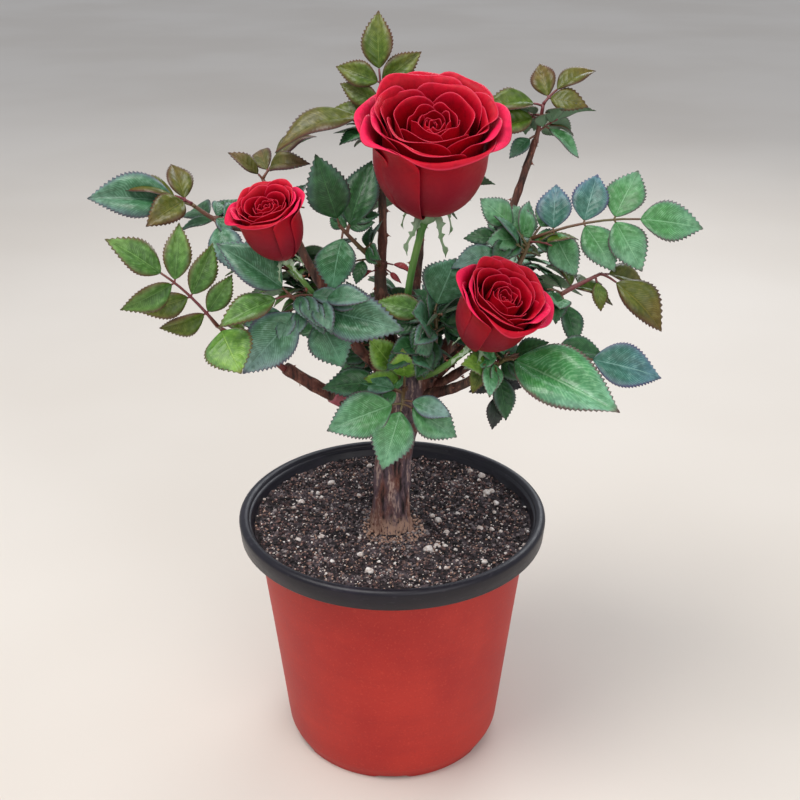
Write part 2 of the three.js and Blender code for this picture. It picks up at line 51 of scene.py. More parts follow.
# Driving dimensions, the same as the solids have
POT_HEIGHT = 133
RIM_RADIUS = 80
BAND_LOW = 122.5
NECK_RADIUS = 70.3
HEEL_RADIUS = 58
FOOT_RADIUS = 55
WALL = 1.4
SOIL_LEVEL = 125
FOOT_NOTCHES = 6
DRAIN_HOLES = 6
DRAIN_CIRCLE = 34
DRAIN_RADIUS = 4
SEAT = 0.3
BLADE_WIDTH = 0.63
BLADE_FOLD = 0.26
BLADE_CURL = 0.1
LEAFLET_ANGLES = [60, 68, 76]
LEAFLET_SIZES = [0.93, 0.88, 0.8]
PAIR_PLACES = {1: [], 3: [0.36], 5: [0.66, 0.24], 7: [0.76, 0.48, 0.2]}
GOLDEN_ANGLE = 137.5
SHORT_STALK = 6

# Sizes of what only the scene has
LEAF_SKIN = 0.28
VEINS = 7
VEIN_SLANT = 1.9
PETAL_THICKNESS = 0.4
NOTCH_HEIGHT = 1.3
NOTCH_SIDE = (7.6, 10)
KNOTS = (0.22, 0.48, 0.74, 0.97)
BED_RADIUS = 72.8
BED_RINGS = 58
SOIL_REACH = 71.5
TRUNK_KEEP = 11.5
LIMB_GAP = 0.6
SPACE_SLACK = 1
# Within this radius finer twigs mostly take the dark deep tint, partly painted shade of the crown's inside
HEART_RADIUS = 44

# Leaflet masters from coarse to fine: columns, rows and tooth size, and the lengths above which
# the next finer one is used
BLADE_GRADES = [(4, 22, 0.022), (6, 32, 0.019), (8, 44, 0.016), (10, 60, 0.012)]
FINER_ABOVE = (19, 32, 48)

# The camera stands where the photo's did, in metres, and looks down by some degrees
CAMERA_PLACE = (0.004, -0.527, 0.435)
CAMERA_DOWN = 24.54
CAMERA_LENS = 52

TRUNK = [(0, -8, 120), (-4, -7, 170), (13, -4, 213)]
TRUNK_FOOT = TRUNK[0][:2]
TRUNK_LENGTH = 96

# Boughs: name, start, bend, tip, radius at the foot, radius at the tip
BOUGHS = [
    ("cane_leader", (9, -1, 208), (-8, 1, 236), (-5, 3, 266), 4.4, 3.3),
    ("cane_leader_top", (-5, 3, 263), (-3, 5, 292), (-6, 12, 318), 2.6, 1.9),
    ("cane_left_low", (-1, -6, 186), (-26, -14, 200), (-50, -24, 222), 4.3, 3.2),
    ("cane_left_front", (3, -9, 205), (-17, -24, 234), (-35, -34, 256), 3.4, 2.4),
    ("cane_left_high", (5, 0, 209), (-30, 4, 238), (-45, 6, 275), 3.4, 2.2),
    ("cane_left_far", (-45, 6, 272), (-58, 1, 282), (-76, -2, 284), 1.9, 1.5),
    ("cane_right_high", (16, 0, 208), (42, 12, 236), (54, 20, 276), 4, 2.8),
    ("cane_right_top", (54, 20, 273), (62, 25, 296), (69, 30, 318), 2.4, 1.8),
    ("cane_right_mid", (18, -5, 206), (44, -6, 232), (60, -2, 266), 3, 2),
    ("cane_right_low", (17, -7, 203), (48, -12, 222), (74, -12, 252), 2.8, 1.9),
    ("cane_front_right", (14, -10, 202), (30, -27, 210), (46, -42, 230), 3.2, 2.2),
    ("cane_back_left", (4, 2, 205), (-24, 34, 212), (-42, 50, 232), 3.4, 2.2),
    ("cane_back", (11, 2, 210), (10, 34, 236), (16, 44, 280), 3.6, 2.3),
    ("cane_back_right", (15, 1, 205), (40, 34, 212), (56, 50, 232), 3.4, 2.2),
    ("cane_back_low", (10, 3, 200), (8, 32, 202), (6, 50, 214), 2.8, 2),
]

STALKS = [
    ("stalk_large", (9, -7, 212), (2, -18, 250), (16, -25, 297), 2.3, 2),
    ("stalk_left", (-23, -26, 242), (-36, -30, 262), (-46, -40, 280), 1.6, 1.5),
    ("stalk_right", (12, -10, 211), (20, -35, 222), (36, -46, 242), 2, 1.7),
]

# Blooms: name, tip of the stalk, radius, height, turn and rise of the axis, seed, 1 or -1 for the
# mirrored form, and height of the hip under the petals
BLOOMS = [
    ("bloom_large", (16, -25, 297), 34, 56, -84, 65, 5, 1, 1.6),
    ("bloom_left", (-46, -40, 280), 18, 33, -125, 66, 9, -1, 1.2),
    ("bloom_right", (36, -46, 242), 23, 39, -52, 54, 14, 1, 3),
]
LARGE_RADIUS = BLOOMS[0][2]

# Masses of leaves: name, seed, number of finer twigs, stem and leaves. A leaf has its place on the
# stem, turn, rise, reach of its stalk, number of leaflets, size, lean and tint
MASSES = [
    ("leaves_front", 3, 2, [(7, -12, 205), (6, -28, 218), (5, -36, 208)], [
        (1, -110, -36, 3, 1, 27, 1.2, "jade"), (0.97, -165, 7, 5, 1, 31, 1, "jade"),
        (0.97, -15, -14, 5, 1, 27, 1, "jade"), (0.72, 169, 32, 5, 1, 20, 0.8, "teal"),
        (0.9, -22, 8, 5, 1, 19, 1, "silver"), (0.4, -168, 24, 14, 1, 27, 1, "deep"),
        (0.35, -150, 64, 14, 3, 20, 1.5, "lime"), (0.5, -88, 66, 10, 1, 18, 1.5, "lime"),
    ]),
    ("leaves_left_low", 8, 2, [(-50, -24, 221), (-62, -33, 236), (-78, -40, 249)], [
        (1, 204, 54, 40, 7, 28, 0.9, "green/moss"), (1, -60, -4, 4, 1, 24, 1.2, "fresh"),
        (0.3, 130, 12, 12, 3, 25, 0, "deep"),
    ]),
    ("leaves_left_front", 21, 6, [(-35, -34, 255), (-39, -37, 257), (-46, -38, 264)], [
        (1, 186, 52, 4, 1, 36, 0.9, "teal"), (0.9, 214, 8, 8, 1, 29, 0.9, "green"),
        (0.4, 210, -27, 5, 1, 38, 1.3, "silver"), (0.2, -25, 11, 5, 1, 42, 1.1, "teal"),
        (0.1, -31, -42, 5, 1, 24, 1.3, "round"),
    ]),
    ("leaves_left_high", 34, 1, [(-45, 6, 274), (-54, 13, 290), (-61, 14, 303)], [
        (1, 30, 50, 12, 3, 24, 0.6, "bronze"), (0.95, 188, 58, 5, 1, 18, 0.6, "bronze"),
        (0.8, 208, 4, 3, 1, 13, 0.6, "bronze"), (0.35, 150, 12, 12, 3, 22, 0, "deep"),
    ]),
    ("leaves_left_far", 40, 1, [(-76, -2, 284), (-84, -4, 289), (-92, -5, 296)], [
        (0.9, 192, 24, 10, 1, 41, 1, "teal"), (1, 190, 34, 9, 3, 25, 0.5, "olive"),
        (0.4, -62, -26, 5, 1, 26, 0.8, "silver"), (0.2, 130, 14, 12, 3, 22, 0, "deep"),
    ]),
    ("leaves_centre_left", 55, 4, [(-6, 1, 265), (-15, -6, 275), (-24, -9, 287)], [
        (1, 220, 74, 4, 1, 32, 1.4, "deep"), (0.8, 46, 70, 5, 1, 31, 1, "deep"),
        (0.9, -104, -46, 4, 1, 25, 1.6, "round"),
    ]),
    ("leaves_top_left", 61, 2, [(-6, 12, 317), (-4, 13, 324), (-4, 14, 332)], [
        (1, 128, 84, 24, 5, 25, 0.9, "moss"), (0.9, 189, 12, 12, 1, 42, 1, "olive"),
        (0.6, 160, 40, 5, 1, 22, 0.8, "moss"), (0.8, 10, 40, 8, 1, 22, 0.8, "jade"),
        (0.3, 80, 22, 14, 5, 23, -0.4, "olive"),
    ]),
    ("leaves_right_top", 72, 2, [(69, 30, 317), (71, 31, 325), (72, 30, 335)], [
        (1, 16, 48, 10, 3, 22, 0.5, "olive"), (0.95, 191, 22, 5, 1, 28, 0.8, "moss"),
        (0.65, 204, 14, 5, 1, 27, 1, "moss"), (0.5, -18, -16, 5, 1, 20, 0.6, "jade"),
        (0.2, 203, -14, 4, 1, 14, 0.8, "teal"), (0.4, 80, 12, 12, 3, 24, -0.3, "olive"),
    ]),
    ("leaves_right", 83, 5, [(60, -2, 265), (63, -1, 272), (66, 0, 278)], [
        (1, -6, 18, 52, 7, 29, 1.4, "jade/blue"), (0.5, 203, 10, 14, 1, 25, 1.2, "silver"),
        (0.6, 40, 50, 14, 3, 21, 0.6, "jade"), (0.7, 165, 55, 14, 3, 20, 1.2, "jade"),
    ]),
    ("leaves_right_far", 97, 2, [(74, -12, 251), (85, -12, 258), (98, -10, 264)], [
        (1, -18, -20, 8, 1, 33, 0.7, "olive"), (0.9, -65, -50, 3, 1, 14, 1, "moss"),
        (0.95, 24, 2, 6, 1, 24, 0.4, "olive"), (0.4, 60, 4, 12, 3, 24, 0, "moss"),
        (0.25, -66, -34, 5, 1, 21, 0.8, "deep"), (0.05, -82, 30, 5, 1, 20, 1, "jade"),
    ]),
    ("leaves_front_right", 104, 7, [(46, -42, 229), (49, -46, 234), (51, -49, 237)], [
        (1, -38, 13, 5, 1, 58, 1.1, "glossy"), (0.85, -5, 8, 40, 1, 33, 0.9, "blue"),
        (0.9, 12, 13, 26, 1, 24, 0.8, "deep"), (0.3, -60, -58, 5, 1, 19, 1.3, "deep"),
        # a leaf hanging low under the crown takes a near-black tint: painted shade
        (0.1, -80, -66, 12, 3, 15, 1.2, "painted_shade_dark"), (0.2, -132, 34, 4, 1, 18, 1.5, "lime"),
    ]),
    ("leaves_centre", 113, 21, [(16, -10, 213), (23, -22, 232), (20, -26, 251)], [
        (1, 60, 60, 4, 1, 27, 1.5, "round"), (0.9, 172, 34, 6, 1, 25, 1.4, "green"),
        (0.7, -10, 40, 5, 1, 20, 1.4, "deep"), (0.75, -110, 20, 5, 1, 20, 1.5, "teal"),
    ]),
    # the heart's leaves take the dark deep tint, partly painted shade of the crown's inside
    ("leaves_heart_left", 160, 27, [(2, -6, 209), (-9, -10, 224), (-14, -9, 240)], [
        (1, 196, 10, 5, 1, 27, 1.2, "deep"), (0.9, 120, 60, 5, 1, 22, 0.3, "deep"),
    ]),
    ("leaves_heart_right", 171, 22, [(15, -5, 210), (22, -3, 226), (27, -4, 241)], [
        (1, -20, 40, 4, 1, 20, 1, "deep"), (0.8, -58, 14, 5, 1, 22, 1.2, "deep"),
        (0.9, 90, 50, 12, 3, 20, 0.3, "deep"),
    ]),
]

# Masses at the back: name, seed, number of finer twigs, stem, whorl and tint. A whorl has its number
# of leaves, first turn, rise, reach, leaflets and size
BACK_MASSES = [
    ("leaves_back_left", 120, 11, [(-42, 50, 231), (-51, 54, 240), (-60, 54, 252)],
     (5, 150, -6, 14, 3, 26), "green"),
    ("leaves_back", 131, 11, [(16, 44, 279), (17, 50, 290), (18, 52, 306)],
     (5, 75, 2, 13, 3, 26), "deep"),
    ("leaves_back_right", 142, 11, [(56, 50, 231), (63, 54, 240), (71, 53, 252)],
     (5, 60, -6, 14, 3, 26), "jade"),
    ("leaves_back_low", 153, 10, [(6, 50, 213), (6, 55, 218), (6, 58, 228)],
     (4, 70, -10, 12, 3, 25), "deep"),
]

# Leaf tints: the blade, its outer end, its margin and its veins, and whether the shoot is red. The outer end
# is the leaf's own colour on the brownish tints; its pale bluish cast on the jade, teal, blue, silver,
# glossy and round tints is a painted sky reflection
TINTS = {
    # deep: a dark green, partly the leaves' own and partly painted shade, for leaves in the heart of the
    # crown and at the back
    "deep": ("#265429", "#396641", "#35282b", "#558a55", False),
    "green": ("#4a7630", "#6a8e42", "#5e3a2c", "#8ab868", True),
    "jade": ("#488748", "#74a684", "#5d4450", "#90c294", False),
    "teal": ("#3c7048", "#70957f", "#4f4256", "#84b094", False),
    "blue": ("#356c5a", "#5a8194", "#4a3a66", "#88b2a6", False),
    "silver": ("#4c8058", "#92b0ac", "#4c3c58", "#92bca6", False),
    "glossy": ("#42904a", "#80ba94", "#6a3340", "#98ca98", False),
    "lime": ("#5c8c28", "#7ea63e", "#6a4a2c", "#9cc05a", False),
    "moss": ("#4c681a", "#6a6a24", "#5c322c", "#879648", True),
    "olive": ("#566016", "#6c5222", "#542c28", "#8a8240", True),
    "bronze": ("#56581e", "#6c4a30", "#4e2432", "#88744a", True),
    # a near-black tint, painted shade, for a leaf hanging low under the crown
    "painted_shade_dark": ("#26342a", "#36303a", "#2e1f28", "#465646", True),
    "fresh": ("#5a8c2a", "#7aa63e", "#6a4a2c", "#9cc05a", False),
    "round": ("#32673a", "#5a9270", "#4b3a48", "#7cac8c", False),
    "ember": ("#9c2c34", "#b8484e", "#6c1c26", "#c86a66", True),
}
TINT_NAMES = list(TINTS)

# By tint, a leaf's width and fold as shares of its master's, and how far it curls
HABITS = {
    "green": (0.84, 1.3, 0.05), "moss": (0.88, 1.5, 0.12), "olive": (0.96, 1.4, 0.15),
    "bronze": (0.78, 1.8, 0.14), "jade": (1.1, 0.8, 0.02), "blue": (1.14, 0.9, 0.03),
    "glossy": (0.88, 1.1, -0.07), "teal": (0.92, 1.4, 0.03), "lime": (1.1, 0.9, 0.03),
    "fresh": (1.45, 0.6, 0.0), "round": (1.4, 0.7, 0.02), "ember": (0.6, 2, 0.2),
}
PLAIN_HABIT = (0.95, 1, 0.04)

# Leaflets on a finer twig: place, swing off it, and share of its size
FINE_LEAFLETS = [(1, 0, 1), (0.7, 62, 0.9), (0.7, -62, 0.9), (0.32, 70, 0.8), (0.32, -70, 0.8)]

# Young red shoots by the leader: place on it, turn, rise, reach and size
RED_SHOOTS = [(0.98, -12, 4, 6, 10), (0.95, -38, -8, 6, 7), (0.98, 205, 52, 5, 10), (0.93, 222, 10, 5, 8)]

# Petals from the heart outwards: how many, belly, lip, end, height, drop of the lip, half angle, first turn
WHORLS = [
    (3, 0.11, 0.05, 0.04, 0.81, 0.0, 105, 20),
    (3, 0.17, 0.12, 0.11, 0.84, 0.0, 88, 75),
    (4, 0.24, 0.20, 0.20, 0.865, 0.0, 70, 10),
    (4, 0.31, 0.29, 0.31, 0.885, 0.0, 66, 52),
    (3, 0.44, 0.48, 0.53, 0.90, 0.0, 78, 28),
    (4, 0.53, 0.61, 0.68, 0.915, 0.0, 64, 60),
]

# Outer petals: centre, half angle, belly, lip, end, height, drop of the lip, how pointed, and the
# first of its two finishes (4 gives the pair whose inner face has a painted highlight)
OUTER_PETALS = [
    (10, 52, 0.57, 0.67, 0.76, 0.93, 0.0, 0.3, 0),
    (165, 50, 0.57, 0.67, 0.76, 0.93, 0.0, 0.3, 0),
    (92, 50, 0.58, 0.69, 0.79, 0.94, 0.0, 0.3, 0),
    (132, 54, 0.60, 0.73, 0.84, 0.95, 0.0, 0.3, 0),
    (48, 56, 0.61, 0.74, 0.86, 0.94, 0.0, 0.3, 0),
    (192, 46, 0.605, 0.74, 0.86, 0.93, 0.01, 0.3, 4),
    (336, 48, 0.605, 0.74, 0.86, 0.93, 0.01, 0.3, 4),
    (250, 62, 0.61, 0.73, 0.83, 0.925, 0.03, 0.2, 0),
    (92, 52, 0.63, 0.78, 0.92, 0.92, 0.02, 0.3, 0),
    (172, 58, 0.7, 0.89, 1.01, 0.87, 0.03, 0.8, 4),
    (350, 64, 0.67, 0.87, 1.02, 0.89, 0.07, 0.7, 4),
    (212, 50, 0.71, 0.87, 0.96, 0.885, 0.06, 0.3, 4),
    (282, 72, 0.675, 0.84, 0.95, 0.90, 0.12, 0.1, 0),
]

# The larger white lumps that show on the soil: place and radius
LUMPS = [
    (44, 53, 1.4), (50, 46, 2), (48, 41, 1.1), (51.5, 28.5, 2.2), (54, 29, 1.6), (55.5, 16, 1.6),
    (40.5, 24, 1.1), (24, -0.5, 1.9), (21, 4, 1.5), (29.5, 10, 1.4), (34.5, 6, 1.4), (45.5, -9.5, 1.7),
    (51.5, -10.5, 1.3), (28, -12.5, 1.4), (18, -30.5, 2.3), (22.5, -27.5, 1.8), (32, -29, 1),
    (67, -27.5, 1.5), (64.5, -31, 1), (45.5, -43, 1.5), (26.5, -47, 1.1), (54, 5.5, 1), (57, -5, 1),
    (56, -12.5, 1.1), (-34.5, 39.5, 2.2), (-41, 29.5, 1.3), (-44, 30, 1.2), (-18.5, 26.5, 1.4),
    (-49.5, 19, 1.9), (-53, 13, 1.2), (-48, -21, 1.5), (-36, -16.5, 1.5), (-23, -15, 1.2),
    (-16, -34.5, 1.6), (-13.5, 58.5, 1.5), (-29.5, -41.5, 1.2), (-11, -48, 2.2),
]

# Tones of the loose crumbs and of the pale grains: name and colours
CRUMB_TONES = [
    ("dark_crumb", "#110c0e", "#2e2326", "#4a3e42"), ("black_crumb", "#0c090b", "#221a1e", "#3a3136"),
    ("brown_crumb", "#38272a", "#684d48", "#8c7068"), ("grey_crumb", "#453a3c", "#75686a", "#a09592"),
]
PALE_TONES = [
    ("perlite", "#f0e9e4", "#c4b2a8"), ("bark_chip", "#cdaa96", "#94705e"),
    ("ruddy_chip", "#b48c84", "#6e4c48"),
]


# Small helpers for directions, curves and repeatable numbers

def radians(degrees):
    return degrees * math.pi / 180


def heading(turn, rise):
    """A unit direction from its turn about +Z, counted from +X towards +Y, and its rise."""
    turn, rise = radians(turn), radians(rise)
    return np.array([math.cos(turn) * math.cos(rise), math.sin(turn) * math.cos(rise), math.sin(rise)])


def unit(vector):
    return vector / np.linalg.norm(vector, axis=-1, keepdims=True)


def dice(seed):
    """A small repeatable generator of numbers between -1 and 1."""
    state = [seed]

    def roll():
        state[0] = (state[0] * 1664525 + 1013904223) % 4294967296
        return state[0] / 2147483648 - 1

    return roll


def smooth(low, high, value):
    share = np.clip((value - low) / (high - low), 0, 1)
    return share * share * (3 - 2 * share)


def taper(foot, end, t):
    return foot + (end - foot) * t


class Bend:
    """A curve through space with one bend, and a frame carried along it."""

    def __init__(self, start, bend, tip):
        self.knots = [np.array(p, float) for p in (start, bend, tip)]
        across = np.cross(self.knots[1] - self.knots[0], self.knots[2] - self.knots[1])
        if np.linalg.norm(across) < 1e-6:
            across = np.cross(self.knots[2] - self.knots[0], (1, 0.3, 0.2))
        self.across = unit(across)

    def at(self, t):
        a, b, c = self.knots
        t = np.asarray(t, float)[..., None]
        return (1 - t) ** 2 * a + 2 * t * (1 - t) * b + t * t * c

    def way(self, t):
        a, b, c = self.knots
        t = np.asarray(t, float)[..., None]
        return unit(2 * (1 - t) * (b - a) + 2 * t * (c - b))

    def wrap(self, t, angle, radius):
        """Points round the curve at a place, an angle about it and a distance from it."""
        normal = np.cross(self.way(t), self.across)
        angle = np.asarray(angle, float)[..., None]
        radius = np.asarray(radius, float)[..., None]
        return self.at(t) + radius * (np.cos(angle) * normal + np.sin(angle) * self.across)


# Meshes: small masters made once, and stamped many times into joined pieces

class Master:
    """A small mesh as arrays, ready to be stamped many times."""

    def __init__(self, bm, layers=()):
        bm.verts.index_update()
        self.points = np.array([v.co[:] for v in bm.verts])
        self.faces = [[v.index for v in f.verts] for f in bm.faces]
        self.slots = [f.material_index for f in bm.faces]
        self.corners = np.array([i for f in self.faces for i in f])
        for name in layers:
            layer = bm.verts.layers.float[name]
            setattr(self, name, np.array([v[layer] for v in bm.verts]))
        bm.free()


class Cluster:
    """Stamped masters on their way to one joined mesh."""

    def __init__(self):
        self.points, self.faces, self.slots = [], [], []
        self.maps = {}
        self.count = 0

    def add(self, master, points, slots=(0,), maps=None):
        """Stamps a master at new points. slots has the piece's slot for each slot of the master."""
        self.points.append(points)
        self.faces += [[i + self.count for i in face] for face in master.faces]
        self.slots += [slots[own] for own in master.slots]
        for name, values in (maps or {}).items():
            self.maps.setdefault(name, []).append(values[master.corners])
        self.count += len(points)

    def piece(self, name, materials, nodes=(), slot=None, smoothed=True):
        mesh = bpy.data.meshes.new(name)
        points = np.concatenate(self.points) * MM
        mesh.from_pydata(points.tolist(), [], self.faces)
        mesh.polygons.foreach_set("material_index", self.slots)
        for map_name, values in self.maps.items():
            layer = mesh.uv_layers.new(name=map_name)
            layer.data.foreach_set("uv", np.concatenate(values).ravel())
        return settle(name, mesh, materials, nodes, smoothed)


def placed(name, data):
    """A new object in the scene."""
    made = bpy.data.objects.new(name, data)
    bpy.context.scene.collection.objects.link(made)
    return made


def settle(name, mesh, materials, nodes=(), smoothed=True):
    """Makes the piece from its mesh, dresses it, and lets it ride with the CAD nodes it stands for."""
    mesh.polygons.foreach_set("use_smooth", [smoothed] * len(mesh.polygons))
    for material in materials:
        mesh.materials.append(material)
    mesh.update()
    piece = placed(name, mesh)
    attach(piece, "root")
    if nodes:
        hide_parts(*nodes)
    return piece


def mesh_of(bm, name, scale=1):
    mesh = bpy.data.meshes.new(name)
    bm.to_mesh(mesh)
    bm.free()
    mesh.transform(Matrix.Scale(scale, 4))
    return mesh


def spun(profile, steps, closed=False):
    """A bmesh turned about +Z from a profile of radius and height, in millimetres."""
    bm = bmesh.new()
    verts = [bm.verts.new((r, 0, z)) for r, z in profile]
    ends = verts[1:] + verts[:1] if closed else verts[1:]
    edges = [bm.edges.new(pair) for pair in zip(verts, ends)]
    bmesh.ops.spin(
        bm, geom=verts + edges, cent=(0, 0, 0), axis=(0, 0, 1), dvec=(0, 0, 0),
        angle=2 * math.pi, steps=steps, use_merge=True, use_duplicate=False,
    )
    bmesh.ops.remove_doubles(bm, verts=bm.verts, dist=0.001)
    bmesh.ops.recalc_face_normals(bm, faces=bm.faces)
    return bm


def tube_master(sides, steps):
    """A closed tube of radius 1 from height 0 to 1, ready to be wrapped round a curve."""
    return Master(spun([(0, 0), *((1, i / steps) for i in range(steps + 1)), (0, 1)], sides))


def wrapped(master, curve, radius_at):
    """The master tube's points laid round a curve."""
    x, y, z = master.points.T
    angle = np.arctan2(y, x)
    reach = np.where(np.hypot(x, y) > 0.01, radius_at(z, angle), 0)
    return curve.wrap(z, angle, reach)


# Finishes: shader maths as plain expressions

class Wire:
    """A socket in a shader; arithmetic on it adds Math nodes."""

    def __init__(self, shader, socket):
        self.shader = shader
        self.socket = socket

    def maths(self, operation, *values):
        return self.shader.node("Math", {"operation": operation}, dict(enumerate(values)))

    def __add__(self, other):
        return self.maths("ADD", self, other)

    def __sub__(self, other):
        return self.maths("SUBTRACT", self, other)

    def __rsub__(self, other):
        return self.maths("SUBTRACT", other, self)

    def __mul__(self, other):
        return self.maths("MULTIPLY", self, other)

    __radd__ = __add__
    __rmul__ = __mul__

    def size(self):
        return self.maths("ABSOLUTE", self)

    def larger(self, other):
        return self.maths("MAXIMUM", self, other)

    def waves(self):
        """0 at each whole number, and 1 half way between two of them."""
        return self.maths("SINE", self * math.pi).size()

    def between(self, low, high):
        """0 below low, 1 above high, and a smooth step between them."""
        values = {"Value": self, "From Min": low, "From Max": high}
        return self.shader.node("MapRange", {"interpolation_type": "SMOOTHSTEP"}, values)


class Finish:
    """A material with a Principled shader, and one method that adds any other node."""

    def __init__(self, name, **constants):
        self.material = bpy.data.materials.new(name)
        self.material.use_nodes = True
        self.tree = self.material.node_tree
        self.shader = self.tree.nodes["Principled BSDF"]
        for key, value in constants.items():
            self.shader.inputs[key.replace("_", " ")].default_value = value

    def feed(self, socket, value):
        """Links a wire to a socket, or sets the socket to a number, a colour or a colour's code."""
        if isinstance(value, Wire):
            self.tree.links.new(value.socket, socket)
        else:
            socket.default_value = paint(value) if isinstance(value, str) else value

    def node(self, kind, settings=None, values=None, output=0):
        made = self.tree.nodes.new("ShaderNode" + kind)
        for key, value in (settings or {}).items():
            setattr(made, key, value)
        for key, value in (values or {}).items():
            self.feed(made.inputs[key], value)
        return Wire(self, made.outputs[output])

    def place(self):
        return self.node("TexCoord", output="Object")

    def noise(self, scale, detail=2, stretch=None):
        place = self.place()
        if stretch:
            place = self.node("Mapping", {}, {"Vector": place, "Scale": stretch})
        return self.node("TexNoise", {}, {"Vector": place, "Scale": scale, "Detail": detail})

    def map(self, name):
        """The two values of one of the piece's own maps."""
        source = self.node("UVMap", {"uv_map": name})
        return [self.node("SeparateXYZ", {}, {0: source}, axis) for axis in (0, 1)]

    def coats(self, body, *coats):
        """Lays colours over a first one, each by a share that may vary over the surface."""
        for share, colour in coats:
            body = self.node("Mix", {"data_type": "RGBA"}, {0: share, 6: body, 7: colour}, 2)
        return body

    def done(self, body, height, depth, strength, roughness=None):
        """Wires up the base colour, the bump and a roughness that varies, and gives the material."""
        self.feed(self.shader.inputs["Base Color"], body)
        if roughness:
            self.feed(self.shader.inputs["Roughness"], roughness)
        bump = self.node("Bump", {}, {"Height": height, "Distance": depth, "Strength": strength})
        self.feed(self.shader.inputs["Normal"], bump)
        return self.material


def paint(code):
    """A linear colour from its hexadecimal code."""
    parts = [int(code[i:i + 2], 16) / 255 for i in (1, 3, 5)]
    linear = [p / 12.92 if p <= 0.04045 else ((p + 0.055) / 1.055) ** 2.4 for p in parts]
    return (*linear, 1)


def leaf_finish(tint):
    """A waxy leaf: faint veins and feathering, a paler outer end that on the bluish tints is a painted sky
    reflection, a flushed margin and a dark rim.
    """
    blade, outer, margin, vein, red = TINTS[tint]
    gloss = {"glossy": 0.3, "bronze": 0.48, "painted_shade_dark": 0.5}.get(tint, 0.38)
    finish = Finish("leaf_" + tint, Roughness=gloss, Specular_IOR_Level=0.5 if tint == "glossy" else 0.36)
    across, along = finish.map("blade")
    edge = (across * 2 - 1).size()
    grain, mottle, broad = finish.noise(420, 3), finish.noise(120), finish.noise(38)
    rib = (along * VEINS - edge * VEIN_SLANT).waves()
    side_vein = (1 - rib.between(0.01, 0.2)) * (1 - edge.between(0.6, 0.95)) * along.between(0.04, 0.12)
    feather = (along * 27 - edge * 9 + mottle * 3).waves()
    midrib = 1 - edge.between(0.01, 0.045)
    flush = (edge + broad * 0.5 - 0.25).between(0.6, 1.0)
    cool = 0.36 if tint in ("blue", "silver", "teal") else 0.18
    rim = (edge + mottle * 0.12 - 0.06).between(0.87, 1.0)
    tip = (along + mottle * 0.1).between(0.94, 1.06)
    shade = tuple(c * 0.45 for c in paint(blade)[:3]) + (1,)
    body = finish.coats(
        blade,
        # the outer end's colour: the leaf's own tint, and on the bluish tints a painted sky reflection
        ((along + broad * 0.9 - 0.45).between(0.3, 0.95), outer),
        ((1 - mottle.between(0.3, 0.66)) * 0.5, shade),
        ((1 - grain.between(0.38, 0.52)) * 0.34, shade),
        (grain.between(0.56, 0.7) * 0.3, vein),
        (side_vein * (0.3 if tint == "glossy" else 0.15), vein),
        ((1 - feather.between(0.1, 0.7)) * grain.between(0.34, 0.6) * 0.34, vein),
        (feather.between(0.6, 1) * mottle.between(0.3, 0.6) * 0.26, shade),
        (midrib * 0.5, vein),
        (flush * 0.62, margin) if red else (flush * cool, "#787a98"),
        (rim.larger(tip) * 0.85, margin),
    )
    swell = rib * (1 - edge.between(0.7, 1)) * 0.35 + grain * 0.5 - midrib * 0.4
    return finish.done(body, swell, 0.0004, 0.7, mottle * 0.18 + (gloss - 0.08))


def under_leaf_finish():
    finish = Finish("leaf_underside", Roughness=0.62)
    across, along = finish.map("blade")
    edge = (across * 2 - 1).size()
    vein = (1 - (along * 8 - edge * 2.1).waves().between(0.03, 0.25)) * 0.5
    body = finish.coats(
        "#5d7f5c",
        (finish.noise(45).between(0.3, 0.7), "#6d8a70"),
        (vein, "#8aa684"),
        (edge.between(0.86, 1) * 0.7, "#5a4248"),
    )
    return finish.done(body, vein, 0.0004, 0.6)


def petal_finish(name, low, middle, high, start, end):
    """Velvet crimson, from a darker foot of a petal, partly painted shade of the bloom's depths, to its
    paler lip, partly a painted highlight.
    """
    finish = Finish(
        name, Roughness=0.5, Specular_IOR_Level=0.16,
        Sheen_Weight=0.05, Sheen_Roughness=0.4, Sheen_Tint=paint("#ff3a60"),
    )
    across, up = finish.map("petal")
    edge = (across * 2 - 1).size()
    streak, velvet = finish.noise(60, 3, (1, 1, 0.25)), finish.noise(420)
    # darker low colour at the foot is partly painted shade of the bloom's depths; the paler high colour
    # towards the lip is partly painted highlight
    body = finish.coats(
        low,
        ((up + streak * 0.14 - 0.07).between(start, end), middle),
        ((up + streak * 0.2 - 0.1).between(end, 1.02) * 0.8, high),
        (velvet.between(0.4, 0.7) * 0.25, low),
        # pale pink lines along the lip and the side edges: painted highlight of the lit rims
        ((up + velvet * 0.012).between(0.985, 1.006) * 0.42, "#e44a68"),
        (edge.between(0.975, 1) * 0.25, "#dc3050"),
    )
    return finish.done(body, velvet * 0.35 + streak, 0.0006, 0.5, velvet * 0.2 + 0.4)


def bark_finish(name, dark, mid, pale, cool, scale, lift, foot=0):
    """Streaked bark: dark furrows, ruddy and cool plates, pale flecks, and dry soil on its foot."""
    finish = Finish(name, Roughness=0.8)
    furrow = finish.noise(scale, 6, (1, 1, 0.14))
    plate = finish.noise(scale * 0.3, 3, (1, 1, 0.35))
    grain = finish.noise(scale * 3, 3, (1, 1, 0.4))
    body = finish.coats(
        mid,
        (plate.between(0.4, 0.6), cool),
        ((furrow + grain * 0.5).between(0.76, 0.96) * 0.85, pale),
        (1 - (furrow + grain * 0.25).between(0.44, 0.62), dark),
    )
    if foot:
        level = finish.node("SeparateXYZ", {}, {0: finish.place()}, 2)
        dusty = 1 - (level + finish.noise(160, 4) * 0.02).between(foot, foot + 0.012)
        body = finish.coats(body, (dusty * grain.between(0.36, 0.5), "#b08c78"))
    return finish.done(body, furrow + grain * 0.35, lift, 0.9, grain * 0.3 + 0.62)


